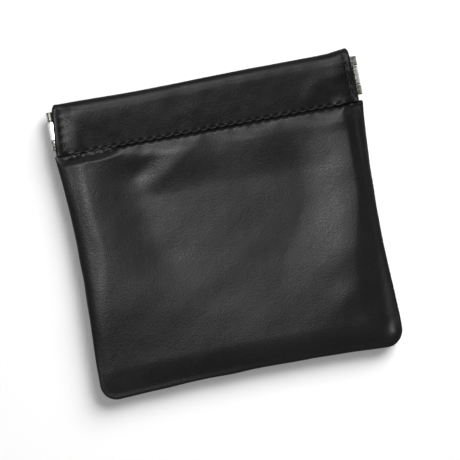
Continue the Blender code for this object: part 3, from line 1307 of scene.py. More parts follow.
@dataclass(frozen=True)
class SteelFinish(Finish):
    """Strip steel with fine rolling marks, and duller places of tarnish and painted shade."""

    light: tuple[float, float, float] = (0.74, 0.735, 0.71)
    darker: float = 0.85
    clouds: float = 700.0
    # The dark colour of painted shade and tarnish on the knuckles
    dull: tuple[float, float, float] = (0.030, 0.029, 0.024)
    roughness: float = 0.16
    roughness_spread: Span = (0.8, 1.4)
    worn_roughness: float = 0.45
    worn_amount: float = 1.1
    worn_breakup: float = 0.22
    worn_scale: float = 1800.0
    marks: float = 5200.0
    mark_stretch: float = 0.08
    mark_span: Span = (0.3, 0.7)
    mark_height: float = 0.01 * MM
    mark_strength: float = 0.25

    def looks(self, sheet: Sheet, effects: Effects) -> dict[str, object]:
        """The inputs of the shader, with the nodes that feed them."""
        drawn = {"Vector": sheet.place(), "Scale": (self.mark_stretch, 1.0, 1.0)}
        lines = sheet.noise(self.marks, 3.0, sheet.add("Mapping", drawn).outputs[0])
        darker = (*(self.darker * part for part in self.light), 1.0)
        tones = {"Dark": darker, "Light": (*self.light, 1.0), "Clouds": self.clouds}
        low, high = (self.roughness * times for times in self.roughness_spread)
        worn = {
            "Color": sheet.effect(effects.drift, tones)["Color"],
            # Where the mask is full, painted shade and tarnish darken the steel to this colour
            "Worn Color": (*self.dull, 1.0),
            "Roughness": sheet.stretch(lines, self.mark_span, (low, high)),
            "Worn Roughness": self.worn_roughness,
            "Amount": self.worn_amount,
            "Breakup": self.worn_breakup,
            "Scale": self.worn_scale,
        }
        wear = sheet.effect(effects.wear, worn)
        return {
            "Base Color": wear["Color"],
            "Roughness": wear["Roughness"],
            "Normal": sheet.bump(lines, self.mark_strength, self.mark_height),
            "Metallic": 1.0,
        }


@dataclass
class Band:
    """The leather band of one half: up the outside, over the mouth and down inside.

    A pair holds a value for the left end and one for the right end, or where a change begins
    and where it ends. A level is a place and its reach.
    """

    form: PouchForm
    face: Face
    leather: bpy.types.Material
    thread: bpy.types.Material
    folds: tuple[Fold | Puff, ...] = ()

    # Facets
    step: float = 0.48 * MM
    across_step: float = 0.40 * MM
    foot_step: float = 0.4 * MM
    fold_steps: int = 14
    inner_steps: int = 7
    lining_steps: tuple[float, float, float] = (1.3 * MM, 0.27 * MM, 0.7 * MM)

    # The section
    wall: float = 0.8 * MM
    lining: float = 0.55 * MM
    hem_lining: float = 0.2 * MM
    gap: float = 0.04 * MM
    edge_half: float = 0.24 * MM
    edge_reach: float = 2.5 * MM
    foot_reach: float = 3.0 * MM
    fold_length: float = 4.2 * MM
    fold_crest: float = 0.46 * MM
    inner_fold: float = 1.2 * MM
    lining_foot: float = 80.9 * MM
    thin_level: float = 83.4 * MM
    thin_reach: float = 0.8 * MM

    # The swell of the outer wall
    edge_dip: float = 0.88 * MM
    bulge: float = 1.72 * MM
    bulge_level: float = 0.80
    bulge_power: float = 1.25
    end_fullness: Span = (0.80, 0.60)
    fullness_reach: Span = (3 * MM, 9 * MM)
    wave: float = 0.12 * MM
    wave_length: float = 27 * MM
    wave_squash: float = 0.8
    small_waves: float = 0.45
    small_wave_length: float = 9.5 * MM

    # The lower row of stitches
    stitch_pitch: float = 3.0 * MM
    stitch_length: float = 2.15 * MM
    stitch_level: float = 0.16 * MM
    stitch_way: Span = (0.998, 0.06)
    stitch_points: int = 12
    thread_radius: float = 0.23 * MM
    thread_lift: float = 0.07 * MM
    thread_dive: float = 0.30 * MM
    lift: float = 0.14 * MM
    lift_level: Span = (-0.1 * MM, 0.8 * MM)
    press: float = 0.20 * MM
    press_level: Span = (0.0, 0.6 * MM)

    # The hems at the ends and their stitches
    end_insets: Span = (2.35 * MM, 1.85 * MM)
    end_pitch: float = 2.83 * MM
    end_stitches: int = 5
    end_lift: float = 0.1 * MM
    end_way: Span = (0.05, 0.998)
    hem_dips: Span = (0.40 * MM, 0.16 * MM)
    hem_dip_reach: Span = (-0.3 * MM, 4.0 * MM)
    hem_dip_pull: float = 0.25 * MM
    hem_bead: float = 0.34 * MM
    hem_bead_reach: Span = (-1.5 * MM, -0.3 * MM)
    hem_press: float = 0.20 * MM
    hem_press_reach: float = 0.42 * MM
    foot_tuck: float = 0.35 * MM
    foot_tuck_reach: float = 2.4 * MM
    near_end: Span = (2 * MM, 6 * MM)
    crumple: float = 0.10 * MM
    crumple_length: float = 3.6 * MM
    crumple_level: Span = (1.0 * MM, math.sqrt(5) * MM)

    # How its outline strays from straight
    left_spread: Span = (0.55 * MM, 1.95 * MM)
    right_spread: Span = (0.42 * MM, 1.3 * MM)
    spread_reach: float = 7 * MM
    spread_power: float = 1.2
    end_curls: Span = (0.20 * MM, 0.06 * MM)
    curl_reach: Span = (1.6 * MM, 0.4 * MM)
    curl_power: float = 1.3
    lining_curl: float = 0.35
    shifted: Span = (0.3, 0.9)
    top_sag: float = 0.5 * MM
    sag_place: Span = (-20 * MM, 22 * MM)
    corner_rises: Span = (0.1 * MM, 0.6 * MM)
    corner_reach: Span = (42 * MM, 49 * MM)
    top_levels: Span = (9 * MM, 2 * MM)

    # Rubbed places
    crest_rub: float = 0.6
    crest_level: Span = (-2.9 * MM, 1.1 * MM)
    crest_share: float = 0.3
    end_rub: float = 0.5
    end_rub_reach: float = 0.7 * MM

    def path(self) -> tuple[np.ndarray, ...]:
        """The section of the band, along the middle of its leather.

        Returns:
            Height and rise of each step, half the thickness there, and its share of the relief.
        """
        form, crest = self.form, self.fold_crest
        half, thin = self.wall / 2, self.lining / 2
        start, bend = form.band_foot + self.edge_half, form.band_top - self.fold_length
        foot = spaced(start, start + self.foot_reach, self.foot_step)
        wall = np.concatenate([foot, spaced(foot[-1], bend, self.step)[1:]])
        thick = mix(self.edge_half, half, ease(start, start + self.edge_reach, wall))
        over = np.linspace(math.pi / 2, 0, self.fold_steps + 1)[1:]
        fold = bend + (self.fold_length - half) * np.cos(over)
        fold_rise = crest + (form.band_rise - half - crest) * np.sin(over)
        down = np.linspace(0, math.pi / 2, self.inner_steps + 1)[1:]
        turn_in = form.band_top - half - self.inner_fold * (1 - np.cos(down))
        turn_rise = mix(crest, self.gap + thin, np.sin(down))
        stops = (turn_in[-1], self.thin_level + self.thin_reach, self.thin_level, self.lining_foot)
        runs = zip(stops, stops[1:], self.lining_steps)
        inner = np.concatenate([spaced(high, low, step)[1:] for high, low, step in runs])
        narrow = ease(self.thin_level + self.thin_reach, self.thin_level, inner)
        inner_half = mix(thin, self.hem_lining / 2, narrow)
        sections = (
            (wall, form.band_rise - thick, thick, np.ones_like(wall)),
            (fold, fold_rise, np.full_like(over, half), np.sin(over)),
            (turn_in, turn_rise, mix(half, thin, np.sin(down)), np.zeros_like(down)),
            (inner, self.gap + inner_half, inner_half, np.zeros_like(inner)),
        )
        return tuple(np.concatenate(part) for part in zip(*sections))

    def relief(self, x: np.ndarray, height: np.ndarray) -> np.ndarray:
        """How far the outer wall stands over its flat form.

        Args:
            x: places along the band.
            height: heights over the bottom edge of the pouch.

        Returns:
            The rise at each place.
        """
        form = self.form
        total = sum((fold.height(x, height) for fold in self.folds), np.zeros_like(x))
        up = (height - form.band_foot) / (form.band_top - form.band_foot)
        bulge = 1 - np.clip(1 - up / self.bulge_level, 0, 1) ** self.bulge_power
        left, right = self.end_fullness
        full = np.where(x < 0, left, np.maximum(bulge, right))
        bulge = mix(full, bulge, ease(*self.fullness_reach, form.band_end - np.abs(x)))
        total = total - self.edge_dip + self.bulge * bulge
        phase = 2.0 + self.face.value
        wide = unevenness(x, height * self.wave_squash, self.wave_length, phase)
        small = unevenness(x, height, self.small_wave_length, phase=0.9)
        total = total + self.wave * (wide + self.small_waves * small)
        above = height - form.band_foot - self.stitch_level
        pressed = sewn(x, self.stitch_pitch)
        total = total + self.lift * (1 - pressed) * bell(above, *self.lift_level)
        total = total - self.press * pressed * bell(above, *self.press_level)
        return total + self.hem(x, height)

    def hem(self, x: np.ndarray, height: np.ndarray) -> np.ndarray:
        """The hem at each end: a valley along its stitches, a bead outside them and a tucked foot.

        Args:
            x: places along the band.
            height: heights over the bottom edge of the pouch.

        Returns:
            How far it changes the rise of the outer wall.
        """
        inside = self.form.band_end - np.abs(x)
        past = inside - np.where(x < 0, *self.end_insets)
        tight = sewn(height - self.end_levels()[0] + self.end_pitch / 2, self.end_pitch)
        start, end = self.hem_dip_reach
        dip = 1 - ease(start + self.hem_dip_pull * tight, end, past)
        total = self.hem_bead * (1 - ease(*self.hem_bead_reach, past))
        total = total - np.where(x < 0, *self.hem_dips) * dip
        total = total - self.hem_press * tight * bell(past, 0.0, self.hem_press_reach)
        near, up = 1 - ease(*self.near_end, inside), height - self.form.band_foot
        total = total - self.foot_tuck * near * bell(up, 0.0, self.foot_tuck_reach)
        crumpled = unevenness(x, height, self.crumple_length, phase=1.1)
        return total + self.crumple * near * crumpled * bell(up, *self.crumple_level)

    def end_shift(self, x: np.ndarray, height: np.ndarray) -> np.ndarray:
        """How far the wall reaches out over the knuckles, more at its foot than at its top.

        Args:
            x: places along the band.
            height: heights over the bottom edge of the pouch.

        Returns:
            The shift of each place along the band.
        """
        form = self.form
        up = np.clip((height - form.band_foot) / (form.band_top - form.band_foot), 0, 1)
        spreads = zip(self.left_spread, self.right_spread)
        top, foot = (np.where(x < 0, left, right) for left, right in spreads)
        most = mix(top, foot, (1 - up) ** self.spread_power)
        start = form.band_end - self.spread_reach
        return np.sign(x) * most * ease(start, form.band_end, np.abs(x))

    def top_shift(self, x: np.ndarray) -> np.ndarray:
        """How the folded edge sags and lifts along the mouth."""
        corners = np.where(x < 0, *self.corner_rises) * ease(*self.corner_reach, np.abs(x))
        return corners - self.top_sag * bell(x, *self.sag_place)

    def end_levels(self) -> np.ndarray:
        """Heights of the stitches that close the band's ends."""
        middle = (self.form.band_foot + self.form.band_top) / 2 + self.end_lift
        steps = np.arange(self.end_stitches) - (self.end_stitches - 1) / 2
        return middle + steps * self.end_pitch

    def curl(self, x: np.ndarray) -> np.ndarray:
        """How far the leather curls in towards the strip at its ends."""
        start, end = self.curl_reach
        share = np.clip((start - self.form.band_end + np.abs(x)) / (start - end), 0.0, 1.0)
        return np.where(x < 0, *self.end_curls) * share**self.curl_power

    def wall_rise(self, x: np.ndarray, height: np.ndarray) -> np.ndarray:
        """The rise of the outside of the wall, for what lies on it."""
        return self.form.band_rise + self.relief(x, height) - self.curl(x)

    def build(self) -> list[bpy.types.Object]:
        """Builds the band in two halves."""
        form = self.form
        height, rise, half, share = (part[:, None] for part in self.path())
        slopes = [np.gradient(part, axis=0) for part in (height, rise)]
        slope = unit(np.concatenate(slopes, axis=1))
        out_height, out_rise = -slope[:, 1:], slope[:, :1]
        x = mirrored(form.band_end - self.wall / 2, self.across_step)
        x, height = np.broadcast_arrays(x[None, :], height)
        relief = self.relief(x, height) * share
        inward = self.curl(x) * np.clip(share + self.lining_curl, 0, 1) * np.sign(out_rise)
        rise = np.maximum(rise + out_rise * relief - inward, self.gap + half)
        y = form.foot + height + out_height * relief
        centre = np.stack([x, y, form.mid + self.face.value * rise], axis=-1)
        spread = ease(*self.shifted, share) * self.end_shift(x, height)
        top, full = (form.band_top - below for below in self.top_levels)
        sag = ease(top, full, height) * self.top_shift(x)
        centre = centre + np.stack([spread, sag, np.zeros_like(sag)], axis=-1)
        crest = bell(height - form.band_top, *self.crest_level) * (share > self.crest_share)
        ends = bell(form.band_end - np.abs(x), 0.0, self.end_rub_reach)
        rub = np.clip(self.crest_rub * crest + self.end_rub * ends, 0, 1)
        draft = Draft()
        add_thick_sheet(draft, centre, half, rub)
        node, leather = f"{self.face.word}_band", [self.leather]
        return split_and_bend(draft, f"{node}_skin", self.face, node, leather)

    def stitch(self, draft: Draft, middle: Span, along: Span) -> None:
        """Adds one stitch on the outer wall.

        Args:
            draft: takes the stitch.
            middle: its middle, as x and height.
            along: its direction.
        """
        share, down = stitch_run(self.stitch_points)
        reach = share * self.stitch_length / 2
        x, height = middle[0] + along[0] * reach, middle[1] + along[1] * reach
        rise = self.wall_rise(x, height) + self.thread_lift - self.thread_dive * down
        x = x + self.end_shift(x, height)
        z = self.form.mid + self.face.value * rise
        path = np.stack([x, self.form.foot + height, z], axis=-1)
        add_thread(draft, path, self.thread_radius)

    def sew(self) -> list[bpy.types.Object]:
        """Sews the lower edge and the two ends, a piece for each quarter."""
        form, pieces = self.form, []
        count = int((form.band_end - max(self.end_insets)) / self.stitch_pitch)
        level = form.band_foot + self.stitch_level
        for side, inset in zip(Side, self.end_insets):
            lower, end = Draft(), Draft()
            for k in range(count):
                x = side.value * (k + 0.5) * self.stitch_pitch
                self.stitch(lower, (x, level), self.stitch_way)
            for end_level in self.end_levels():
                x = side.value * (form.band_end - inset)
                self.stitch(end, (x, end_level), self.end_way)
            for draft, place in ((lower, "lower"), (end, "end")):
                name = f"{self.face.word}_{place}_stitches_{side.word}"
                piece = link_piece(name, draft.mesh(name), [self.thread])
                BENDS[self.face, side].apply(piece, side)
                pieces.append(piece)
        return pieces


@dataclass(frozen=True)
class Knuckle:
    """One rolled tongue of the flex frame and where it stands."""

    node: str
    body: str
    face: Face
    side: Side


KNUCKLES = (
    Knuckle("back_left_lower_knuckle", "left_side", Face.BACK, Side.LEFT),
    Knuckle("back_left_upper_knuckle", "left_side", Face.BACK, Side.LEFT),
    Knuckle("front_left_knuckle", "front_left_hinge", Face.FRONT, Side.LEFT),
    Knuckle("back_right_knuckle", "right_side", Face.BACK, Side.RIGHT),
    Knuckle("front_right_lower_knuckle", "front_right_hinge", Face.FRONT, Side.RIGHT),
    Knuckle("front_right_upper_knuckle", "front_right_hinge", Face.FRONT, Side.RIGHT),
)

# How far out of the band each knuckle is darker, painted shade with some tarnish, and where it is
# clean
TARNISH_AND_SHADE = {
    (Side.LEFT, Face.FRONT): (0.3 * MM, 0.9 * MM),
    (Side.LEFT, Face.BACK): (2.1 * MM, 2.8 * MM),
    (Side.RIGHT, Face.FRONT): (1.4 * MM, 3.9 * MM),
    (Side.RIGHT, Face.BACK): (1.4 * MM, 2.9 * MM),
}


@dataclass
class FlexFrame:
    """The spring strips in the band, their knuckles at its ends and the pins that join them."""

    form: PouchForm
    spring: bpy.types.Material
    plated: bpy.types.Material
    steel: bpy.types.Material
    thickness: float = 0.3 * MM
    step: float = 1.5 * MM
    root_gap: float = 0.1 * MM
    strip_corner: float = 1.2 * MM
    corner_narrowing: float = 0.1
    root: float = 2.0 * MM
    wrap: float = math.radians(298)
    wrap_step: float = math.radians(9)
    knuckle_step: float = 0.5 * MM
    # Painted shade at the ends of each knuckle, where it meets the next, and a painted dark
    # reflection along its outer edge
    side_rub: float = 0.35
    side_rub_reach: float = 0.35 * MM
    outer_rub: float = 0.12
    outer_rub_reach: float = 0.22 * MM
    pin_sides: int = 28
    pin_step: float = 1.2 * MM
    dome: float = 0.18 * MM
    dome_steps: int = 5
    dome_tip: float = 0.02

    def build(self) -> list[bpy.types.Object]:
        """Builds the strips, the knuckles and the pins."""
        pieces = [piece for face in Face for piece in self.build_strip(face)]
        pieces += [self.build_knuckle(knuckle) for knuckle in KNUCKLES]
        return pieces + [self.build_pin(side) for side in Side]

    def dress(
        self, draft: Draft, node: str, material: bpy.types.Material, body: str
    ) -> bpy.types.Object:
        """Makes the piece that takes a node's place.

        Args:
            draft: its shape.
            node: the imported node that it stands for.
            material: its material.
            body: the body that it rides on.

        Returns:
            The piece.
        """
        piece = link_piece(f"{node}_skin", draft.mesh(f"{node}_skin"), [material])
        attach(piece, body)
        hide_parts(node)
        return piece

    def build_strip(self, face: Face) -> list[bpy.types.Object]:
        """Builds the straight length of a strip, with rounded corners, in two halves."""
        node, half = f"{face.word}_spring_strip", self.thickness / 2
        low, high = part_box(node)
        end = self.form.band_end - self.root - self.root_gap
        y = spaced(low.y + half, high.y - half, self.step)
        x, y = np.broadcast_arrays(mirrored(end - half, self.step)[None, :], y[:, None])
        middle, corner = (low.y + high.y) / 2, ease(end - self.strip_corner, end, np.abs(x))
        y = middle + (y - middle) * (1 - self.corner_narrowing * corner)
        z = np.full_like(y, (low.z + high.z) / 2)
        draft = Draft()
        add_thick_sheet(draft, np.stack([x, y, z], axis=-1), half)
        return split_and_bend(draft, f"{node}_skin", face, node, [self.spring])

    def build_knuckle(self, knuckle: Knuckle) -> bpy.types.Object:
        """Rolls one tongue round its pin, from its root inside the band."""
        form, half = self.form, self.thickness / 2
        low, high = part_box(knuckle.node)
        pin_low, pin_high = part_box(f"{knuckle.side.word}_pin")
        pin_x = abs(pin_low.x + pin_high.x) / 2
        radius = max(high.z - form.mid, form.mid - low.z) - half
        root = spaced(pin_x - form.band_end + self.root, 0.0, self.knuckle_step)[:-1]
        turns = spaced(0.0, self.wrap, self.wrap_step)
        inward = np.concatenate([root, -radius * np.sin(turns)])[:, None]
        rise = np.concatenate([np.full_like(root, radius), radius * np.cos(turns)])[:, None]
        y = spaced(low.y + half, high.y - half, self.knuckle_step)
        x, y = np.broadcast_arrays(knuckle.side.value * (pin_x - inward), y[None, :])
        z = np.broadcast_to(form.mid + knuckle.face.value * rise, x.shape)
        # Painted shade: darker steel beside the band, with some tarnish, at the knuckle's ends,
        # and a painted dark reflection along its outer edge
        dull, clean = (form.band_end + out for out in TARNISH_AND_SHADE[knuckle.side, knuckle.face])
        from_side = np.minimum(y - low.y, high.y - y)
        rub = self.side_rub * bell(from_side, 0.0, self.side_rub_reach)
        outer = bell(pin_x + radius - np.abs(x), 0.0, self.outer_rub_reach)
        rub = rub + self.outer_rub * outer + 1 - ease(dull, clean, np.abs(x))
        draft = Draft()
        add_thick_sheet(draft, np.stack([x, y, z], axis=-1), half, np.clip(rub, 0, 1))
        return self.dress(draft, knuckle.node, self.plated, knuckle.body)

    def build_pin(self, side: Side) -> bpy.types.Object:
        """Turns a pin with domed ends."""
        node, dome = f"{side.word}_pin", self.dome
        low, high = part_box(node)
        turns = np.linspace(math.pi / 2, 0, self.dome_steps + 1)
        tip, shaft = dome * (1 - np.sin(turns)), spaced(low.y + dome, high.y - dome, self.pin_step)
        y = np.concatenate([low.y + tip, shaft[1:-1], high.y - tip[::-1]])
        share = np.concatenate([np.cos(turns), np.ones(len(shaft) - 2), np.cos(turns)[::-1]])
        angles = np.linspace(0, 2 * math.pi, self.pin_sides, endpoint=False)
        reach = (high.x - low.x) / 2 * np.maximum(share, self.dome_tip)[:, None]
        x = (low.x + high.x) / 2 + reach * np.cos(angles)
        z = (low.z + high.z) / 2 + reach * np.sin(angles)
        draft = Draft()
        index = draft.add_points(np.stack([x, np.broadcast_to(y[:, None], x.shape), z], axis=-1))
        draft.add_faces(np.concatenate([index, index[:, :1]], axis=1))
        return self.dress(draft, node, self.steel, f"{side.word}_side")


# The body that each seam rides on
SEAM_BODIES = {
    "left_side_seam": "left_side",
    "right_side_seam": "right_seam",
    "bottom_seam": "back",
}


@dataclass
class SeamAllowances:
    """The turned-in edges inside the pouch: two plies of leather, sewn together."""

    form: PouchForm
    backing: bpy.types.Material
    thread: bpy.types.Material
    ply: float = 0.46 * MM
    spread: float = 0.29 * MM
    root_parting: float = 0.38 * MM
    top_parting: float = 0.30 * MM
    top_parting_level: float = 70 * MM
    mouth_reach: float = 3.2 * MM
    clearance: float = 1.3 * MM
    width: float = 4.0 * MM
    width_wave: float = 0.18 * MM
    width_wave_length: float = 17 * MM
    edge_wave: float = 0.05 * MM
    edge_wave_length: float = 21 * MM
    step: float = 0.9 * MM
    steps_in: int = 7
    stitch_inset: float = 1.4 * MM
    stitch_pitch: float = 3.0 * MM
    stitch_length: float = 2.2 * MM
    stitch_points: int = 9
    thread_lift: float = 0.05 * MM
    thread_dive: float = 0.25 * MM
    thread_radius: float = 0.2 * MM
    thread_sides: int = 8
    unsewn: float = 4 * MM

    def build(self) -> list[bpy.types.Object]:
        """Builds the two side seams and the bottom seam with their stitches."""
        pieces, foot = [], self.form.foot
        for node, body in SEAM_BODIES.items():
            low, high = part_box(node)
            level = node == "bottom_seam"
            start, end = (low.x, high.x) if level else (low.y - foot, high.y - foot)
            plies, stitches = Draft(), Draft()
            for turn in (-1, 1):
                add_thick_sheet(plies, self.ply_grid(node, start, end, turn), self.ply / 2)
                self.sew(stitches, node, start, end, turn)
            parts = (("plies", plies, self.backing), ("stitches", stitches, self.thread))
            for word, draft, material in parts:
                piece = link_piece(f"{node}_{word}", draft.mesh(f"{node}_{word}"), [material])
                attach(piece, body)
                pieces.append(piece)
            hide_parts(node)
        return pieces

    def place(
        self, node: str, along: np.ndarray, inward: np.ndarray, rise: np.ndarray
    ) -> np.ndarray:
        """Points on a seam.

        Args:
            node: the seam.
            along: how far each point is along it: x for the bottom, or else the height.
            inward: how far it is in from the folded edge.
            rise: how far it is over the middle of the seam.

        Returns:
            The points, with x, y and z along the last axis.
        """
        form, inset = self.form, self.clearance + inward
        if node == "bottom_seam":
            y = form.foot + inset + form.arch(along, self.clearance)
            return np.stack([along, y, form.mid + rise], axis=-1)
        side = Side.LEFT if node.startswith("left") else Side.RIGHT
        x = side.value * (form.half_width(along) - inset)
        return np.stack([x, form.foot + along, form.mid + rise], axis=-1)

    def ply_grid(self, node: str, start: float, end: float, turn: int) -> np.ndarray:
        """The middle surface of one ply, parted from the other at its root.

        Args:
            node: the seam.
            start: where the seam starts, along itself.
            end: where it ends.
            turn: 1 for the ply of the front, -1 for that of the back.

        Returns:
            The grid of its points.
        """
        level = node == "bottom_seam"
        end = end if level else end + self.mouth_reach
        along = spaced(start + self.ply, end - self.ply, self.step)[None, :]
        along, share = np.broadcast_arrays(along, np.linspace(0, 1, self.steps_in + 1)[:, None])
        uneven = unevenness(along, along, self.width_wave_length, phase=1.0 + turn)
        width = self.width - self.ply + self.width_wave * uneven
        parting = self.root_parting
        if not level:
            parting = parting + self.top_parting * ease(0, self.top_parting_level, along)
        uneven = unevenness(along, share * MM, self.edge_wave_length, phase=2.0 + turn)
        lift = self.spread + self.edge_wave * share * uneven + parting * (1 - share) ** 3
        return self.place(node, along, mix(self.ply / 2, width, share), turn * lift)

    def sew(self, draft: Draft, node: str, start: float, end: float, turn: int) -> None:
        """Adds the stitches on one side of a seam.

        Args:
            draft: takes the stitches.
            node: the seam.
            start: where the seam starts, along itself.
            end: where it ends.
            turn: 1 for the side of the front, -1 for that of the back.
        """
        count = int((end - start - self.unsewn) / self.stitch_pitch)
        share, down = stitch_run(self.stitch_points)
        rise = self.spread + self.ply / 2 + self.thread_lift - self.thread_dive * down
        inset = np.full_like(share, self.stitch_inset)
        for k in range(count):
            middle = (start + end) / 2 + (k - (count - 1) / 2) * self.stitch_pitch
            along = middle + share * self.stitch_length / 2
            path = self.place(node, along, inset, turn * rise)
            add_thread(draft, path, self.thread_radius, self.thread_sides)


@dataclass(frozen=True)
class Lamp:
    """A square soft light that points at the pouch.

    Its place is right and up in the camera's view. It lights surfaces where it is diffuse, and
    shows on them as a sheen where it is glossy.
    """

    name: str
    place: Span
    height: float
    power: float
    size: float
    diffuse: bool = True
    glossy: bool = True


LAMPS = (
    Lamp("key", (0.62, 0.92), 0.82, power=30.5, size=0.95, glossy=False),
    Lamp("sheen_left", (-0.43, 0.14), 1.06, power=13.5, size=0.30, diffuse=False),
    Lamp("sheen_top", (-0.25, 0.70), 0.85, power=13.0, size=0.45, diffuse=False),
    Lamp("sheen_over", (-0.12, 0.19), 1.20, power=6.4, size=0.45, diffuse=False),
)


@dataclass
class Studio:
    """A pale floor, soft lights and the camera straight above the pouch."""

    mid: float
    turn: float = math.radians(-10.5)
    aim: Span = (1.1 * MM, -1.6 * MM)
    distance: float = 0.5674
    lens: float = 135.0
    sensor: float = 36.0
    ambient: float = 0.16
    floor_reach: float = 3.0
    floor_step: float = 0.5
    floor_tone: float = 0.93
    floor_speckle: float = 0.01
    floor_fibres: float = 900.0
    floor_lift: float = 0.17
    floor_fade: Span = (0.3, 1.3)

    def in_view(self, right: float, up: float) -> Span:
        """A place on the floor, by how far it is right and up in the camera's view."""
        cos, sin = math.cos(self.turn), math.sin(self.turn)
        return right * cos - up * sin, right * sin + up * cos

    def build(self) -> None:
        """Sets up the floor, the lights, the world and the camera."""
        self.build_floor()
        for lamp in LAMPS:
            self.hang(lamp)
        self.build_world()
        self.build_camera()
        bpy.context.scene.view_settings.view_transform = "Standard"

    def build_floor(self) -> None:
        """Lays the floor, which keeps the shadow and shows white to the camera elsewhere."""
        draft = Draft()
        reach = spaced(-self.floor_reach, self.floor_reach, self.floor_step)
        x, y = np.meshgrid(reach, reach)
        draft.add_faces(draft.add_points(np.stack([x, y, np.zeros_like(x)], axis=-1)))
        material, sheet, shader = start_material("floor_paper")
        place = sheet.place()
        fibres = sheet.noise(self.floor_fibres, 3.0, place)
        tones = tone(self.floor_tone - self.floor_speckle), tone(self.floor_tone)
        paper = {"Base Color": sheet.blend(fibres, *tones), "Roughness": 1.0}
        sheet.feed(shader, paper | {"Specular IOR Level": 0.0})
        seen = self.seen_white(sheet)
        away = sheet.add("VectorMath", {0: place}, operation="LENGTH").outputs["Value"]
        lift = sheet.stretch(away, self.floor_fade, (self.floor_lift, 1.0), "SMOOTHSTEP")
        shown = {"Color": tone(1.0), "Strength": sheet.math("MULTIPLY", seen, lift)}
        glow = sheet.add("Emission", shown).outputs[0]
        both = sheet.add("AddShader", {0: shader.outputs[0], 1: glow}).outputs[0]
        sheet.feed(sheet.tree.nodes["Material Output"], {"Surface": both})
        floor = link_piece("floor", draft.mesh("floor"), [material])

    @staticmethod
    def seen_white(sheet: Sheet) -> Socket:
        """1 for the rays that show the background: from the camera, in gloss and through glass."""
        ray = sheet.add("LightPath").outputs
        mirrored_too = sheet.math("MAXIMUM", ray["Is Camera Ray"], ray["Is Glossy Ray"])
        return sheet.math("MAXIMUM", mirrored_too, ray["Is Transmission Ray"])

    def hang(self, lamp: Lamp) -> None:
        """Hangs one of the lights."""
        light = bpy.data.lights.new(lamp.name, "AREA")
        light.energy, light.size = lamp.power, lamp.size
        hung = bpy.data.objects.new(lamp.name, light)
        hung.location = (*self.in_view(*lamp.place), lamp.height)
        hung.rotation_euler = (-hung.location).to_track_quat("-Z", "Y").to_euler()
        hung.visible_camera = False
        hung.visible_diffuse, hung.visible_glossy = lamp.diffuse, lamp.glossy
        bpy.context.scene.collection.objects.link(hung)

    def build_world(self) -> None:
        """Makes the surroundings: white where they are seen, dim light on everything else."""
        world = bpy.data.worlds.new("studio")
        world.use_nodes = True
        world.node_tree.nodes.clear()
        sheet = Sheet(world.node_tree)
        dim, white = (
            sheet.add("Background", {"Color": tone(1.0), "Strength": strength}).outputs[0]
            for strength in (self.ambient, 1.0)
        )
        either = sheet.add("MixShader", {0: self.seen_white(sheet), 1: dim, 2: white})
        output = sheet.add("OutputWorld", {"Surface": either.outputs[0]})
        output.is_active_output = True
        bpy.context.scene.world = world

    def build_camera(self) -> None:
        """Places the camera at the photograph's angle."""
        lens = bpy.data.cameras.new("camera")
        lens.lens, lens.sensor_width = self.lens, self.sensor
        camera = bpy.data.objects.new("camera", lens)
        camera.location = (*self.in_view(*self.aim), self.mid + self.distance)
        camera.rotation_euler = (0.0, 0.0, self.turn)
        bpy.context.scene.collection.objects.link(camera)
        bpy.context.scene.camera = camera


FRONT_FOLDS = (
    # The ridge under the left of the band, and the puckers to its right
    Fold((-20.0, 67.0), (-5.0, 79.0), 6.0, 0.42, fade=5.0, lee=15.0),
    Puff((-12.0, 77.0), (8.0, 4.6), 0.15),
    Fold((14.0, 80.0), (18.0, 64.0), 5.0, 0.28, fade=5.0),
    Fold((24.0, 78.0), (33.0, 69.0), 4.0, -0.25),
    Puff((1.0, 76.4), (5.5, 3.0), -0.26),
    # The corner under the right of the band, and the sheen down the right
    Fold((43.0, 74.5), (43.5, 82.0), 6.0, 0.50, fade=3.0, lee=2.5),
    Fold((47.0, 84.0), (38.0, 26.0), 8.0, 0.5, fade=10.0),
    # The groove inside the right seam, the ridge beside it and the bulge of the lower corner
    Fold((46.6, 76.0), (46.2, 8.0), 1.3, -0.22, fade=6.0),
    Fold((49.2, 76.0), (49.0, 8.0), 1.2, 0.22, fade=6.0),
    Fold((48.2, 0.5), (48.5, 6.5), 1.8, 0.85, fade=3.0),
    # A swelling and a hollow low on the panel
    Puff((35.0, 18.0), (7.0, 5.0), 0.55, 50.0),
    Puff((-2.0, 27.0), (9.0, 5.0), -0.20),
)
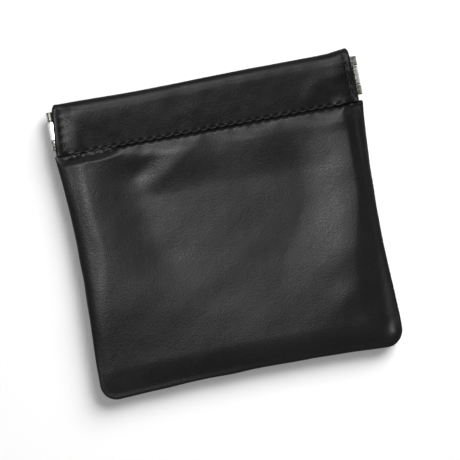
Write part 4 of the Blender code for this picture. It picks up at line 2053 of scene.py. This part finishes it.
BACK_FOLDS = (
    Fold((-38.0, 20.0), (-12.0, 42.0), 7.0, -0.30, fade=9.0),
    Fold((40.0, 60.0), (22.0, 34.0), 6.0, -0.25, fade=9.0),
    Puff((4.0, 66.0), (15.0, 8.0), -0.25),
)
FRONT_BAND_FOLDS = (
    Fold((-6.0, 98.0), (-8.0, 90.0), 3.6, -0.24, fade=3.0),
    # The hem that stands up at the right end
    Fold((47.0, 87.5), (47.0, 101.0), 5.0, 0.95, lee=3.6),
    Fold((31.0, 83.5), (40.0, 91.0), 3.0, 0.16, fade=3.0),
    Puff((-33.0, 92.0), (12.0, 4.0), 0.16),
    Puff((16.0, 90.0), (13.0, 5.0), -0.10),
)


def log_pieces(pieces: list[bpy.types.Object]) -> None:
    """Says which pieces were built and how many faces each has."""
    for piece in pieces:
        LOG.info("%s: %d faces", piece.name, len(piece.data.polygons))


def main() -> None:
    """Builds the pouch and its studio."""
    logging.basicConfig(level=logging.INFO, format="%(name)s %(message)s")
    form = PouchForm.from_frame()
    effects = Effects()
    panel_leather = LeatherFinish("panel_leather").build(effects)
    # The band is a darker, less shiny copy of the panel leather: painted shade on the band
    shaded_band_finish = LeatherFinish("band_leather", dark=0.0016, light=0.0056, specular=0.070)
    band_leather = shaded_band_finish.build(effects)
    backing = BackingFinish("knit_backing").build(effects)
    thread = ThreadFinish("black_thread").build(effects)
    spring = SteelFinish("spring_steel", light=(0.56, 0.56, 0.54), roughness=0.22).build(effects)
    plated = SteelFinish("plated_steel").build(effects)
    # The pins are darker steel than the plating: painted shade where they show between the
    # knuckles
    pin_steel = SteelFinish("pin_steel", light=(0.24, 0.24, 0.225), roughness=0.30).build(effects)
    folds = {Face.FRONT: FRONT_FOLDS, Face.BACK: BACK_FOLDS}
    band_folds = {Face.FRONT: FRONT_BAND_FOLDS, Face.BACK: ()}
    for face in Face:
        log_pieces(Panel(form, face, panel_leather, backing, folds[face]).build())
        band = Band(form, face, band_leather, thread, band_folds[face])
        log_pieces(band.build() + band.sew())
    log_pieces(FlexFrame(form, spring, plated, pin_steel).build())
    log_pieces(SeamAllowances(form, backing, thread).build())
    Studio(form.mid).build()


if __name__ == "__main__":
    main()
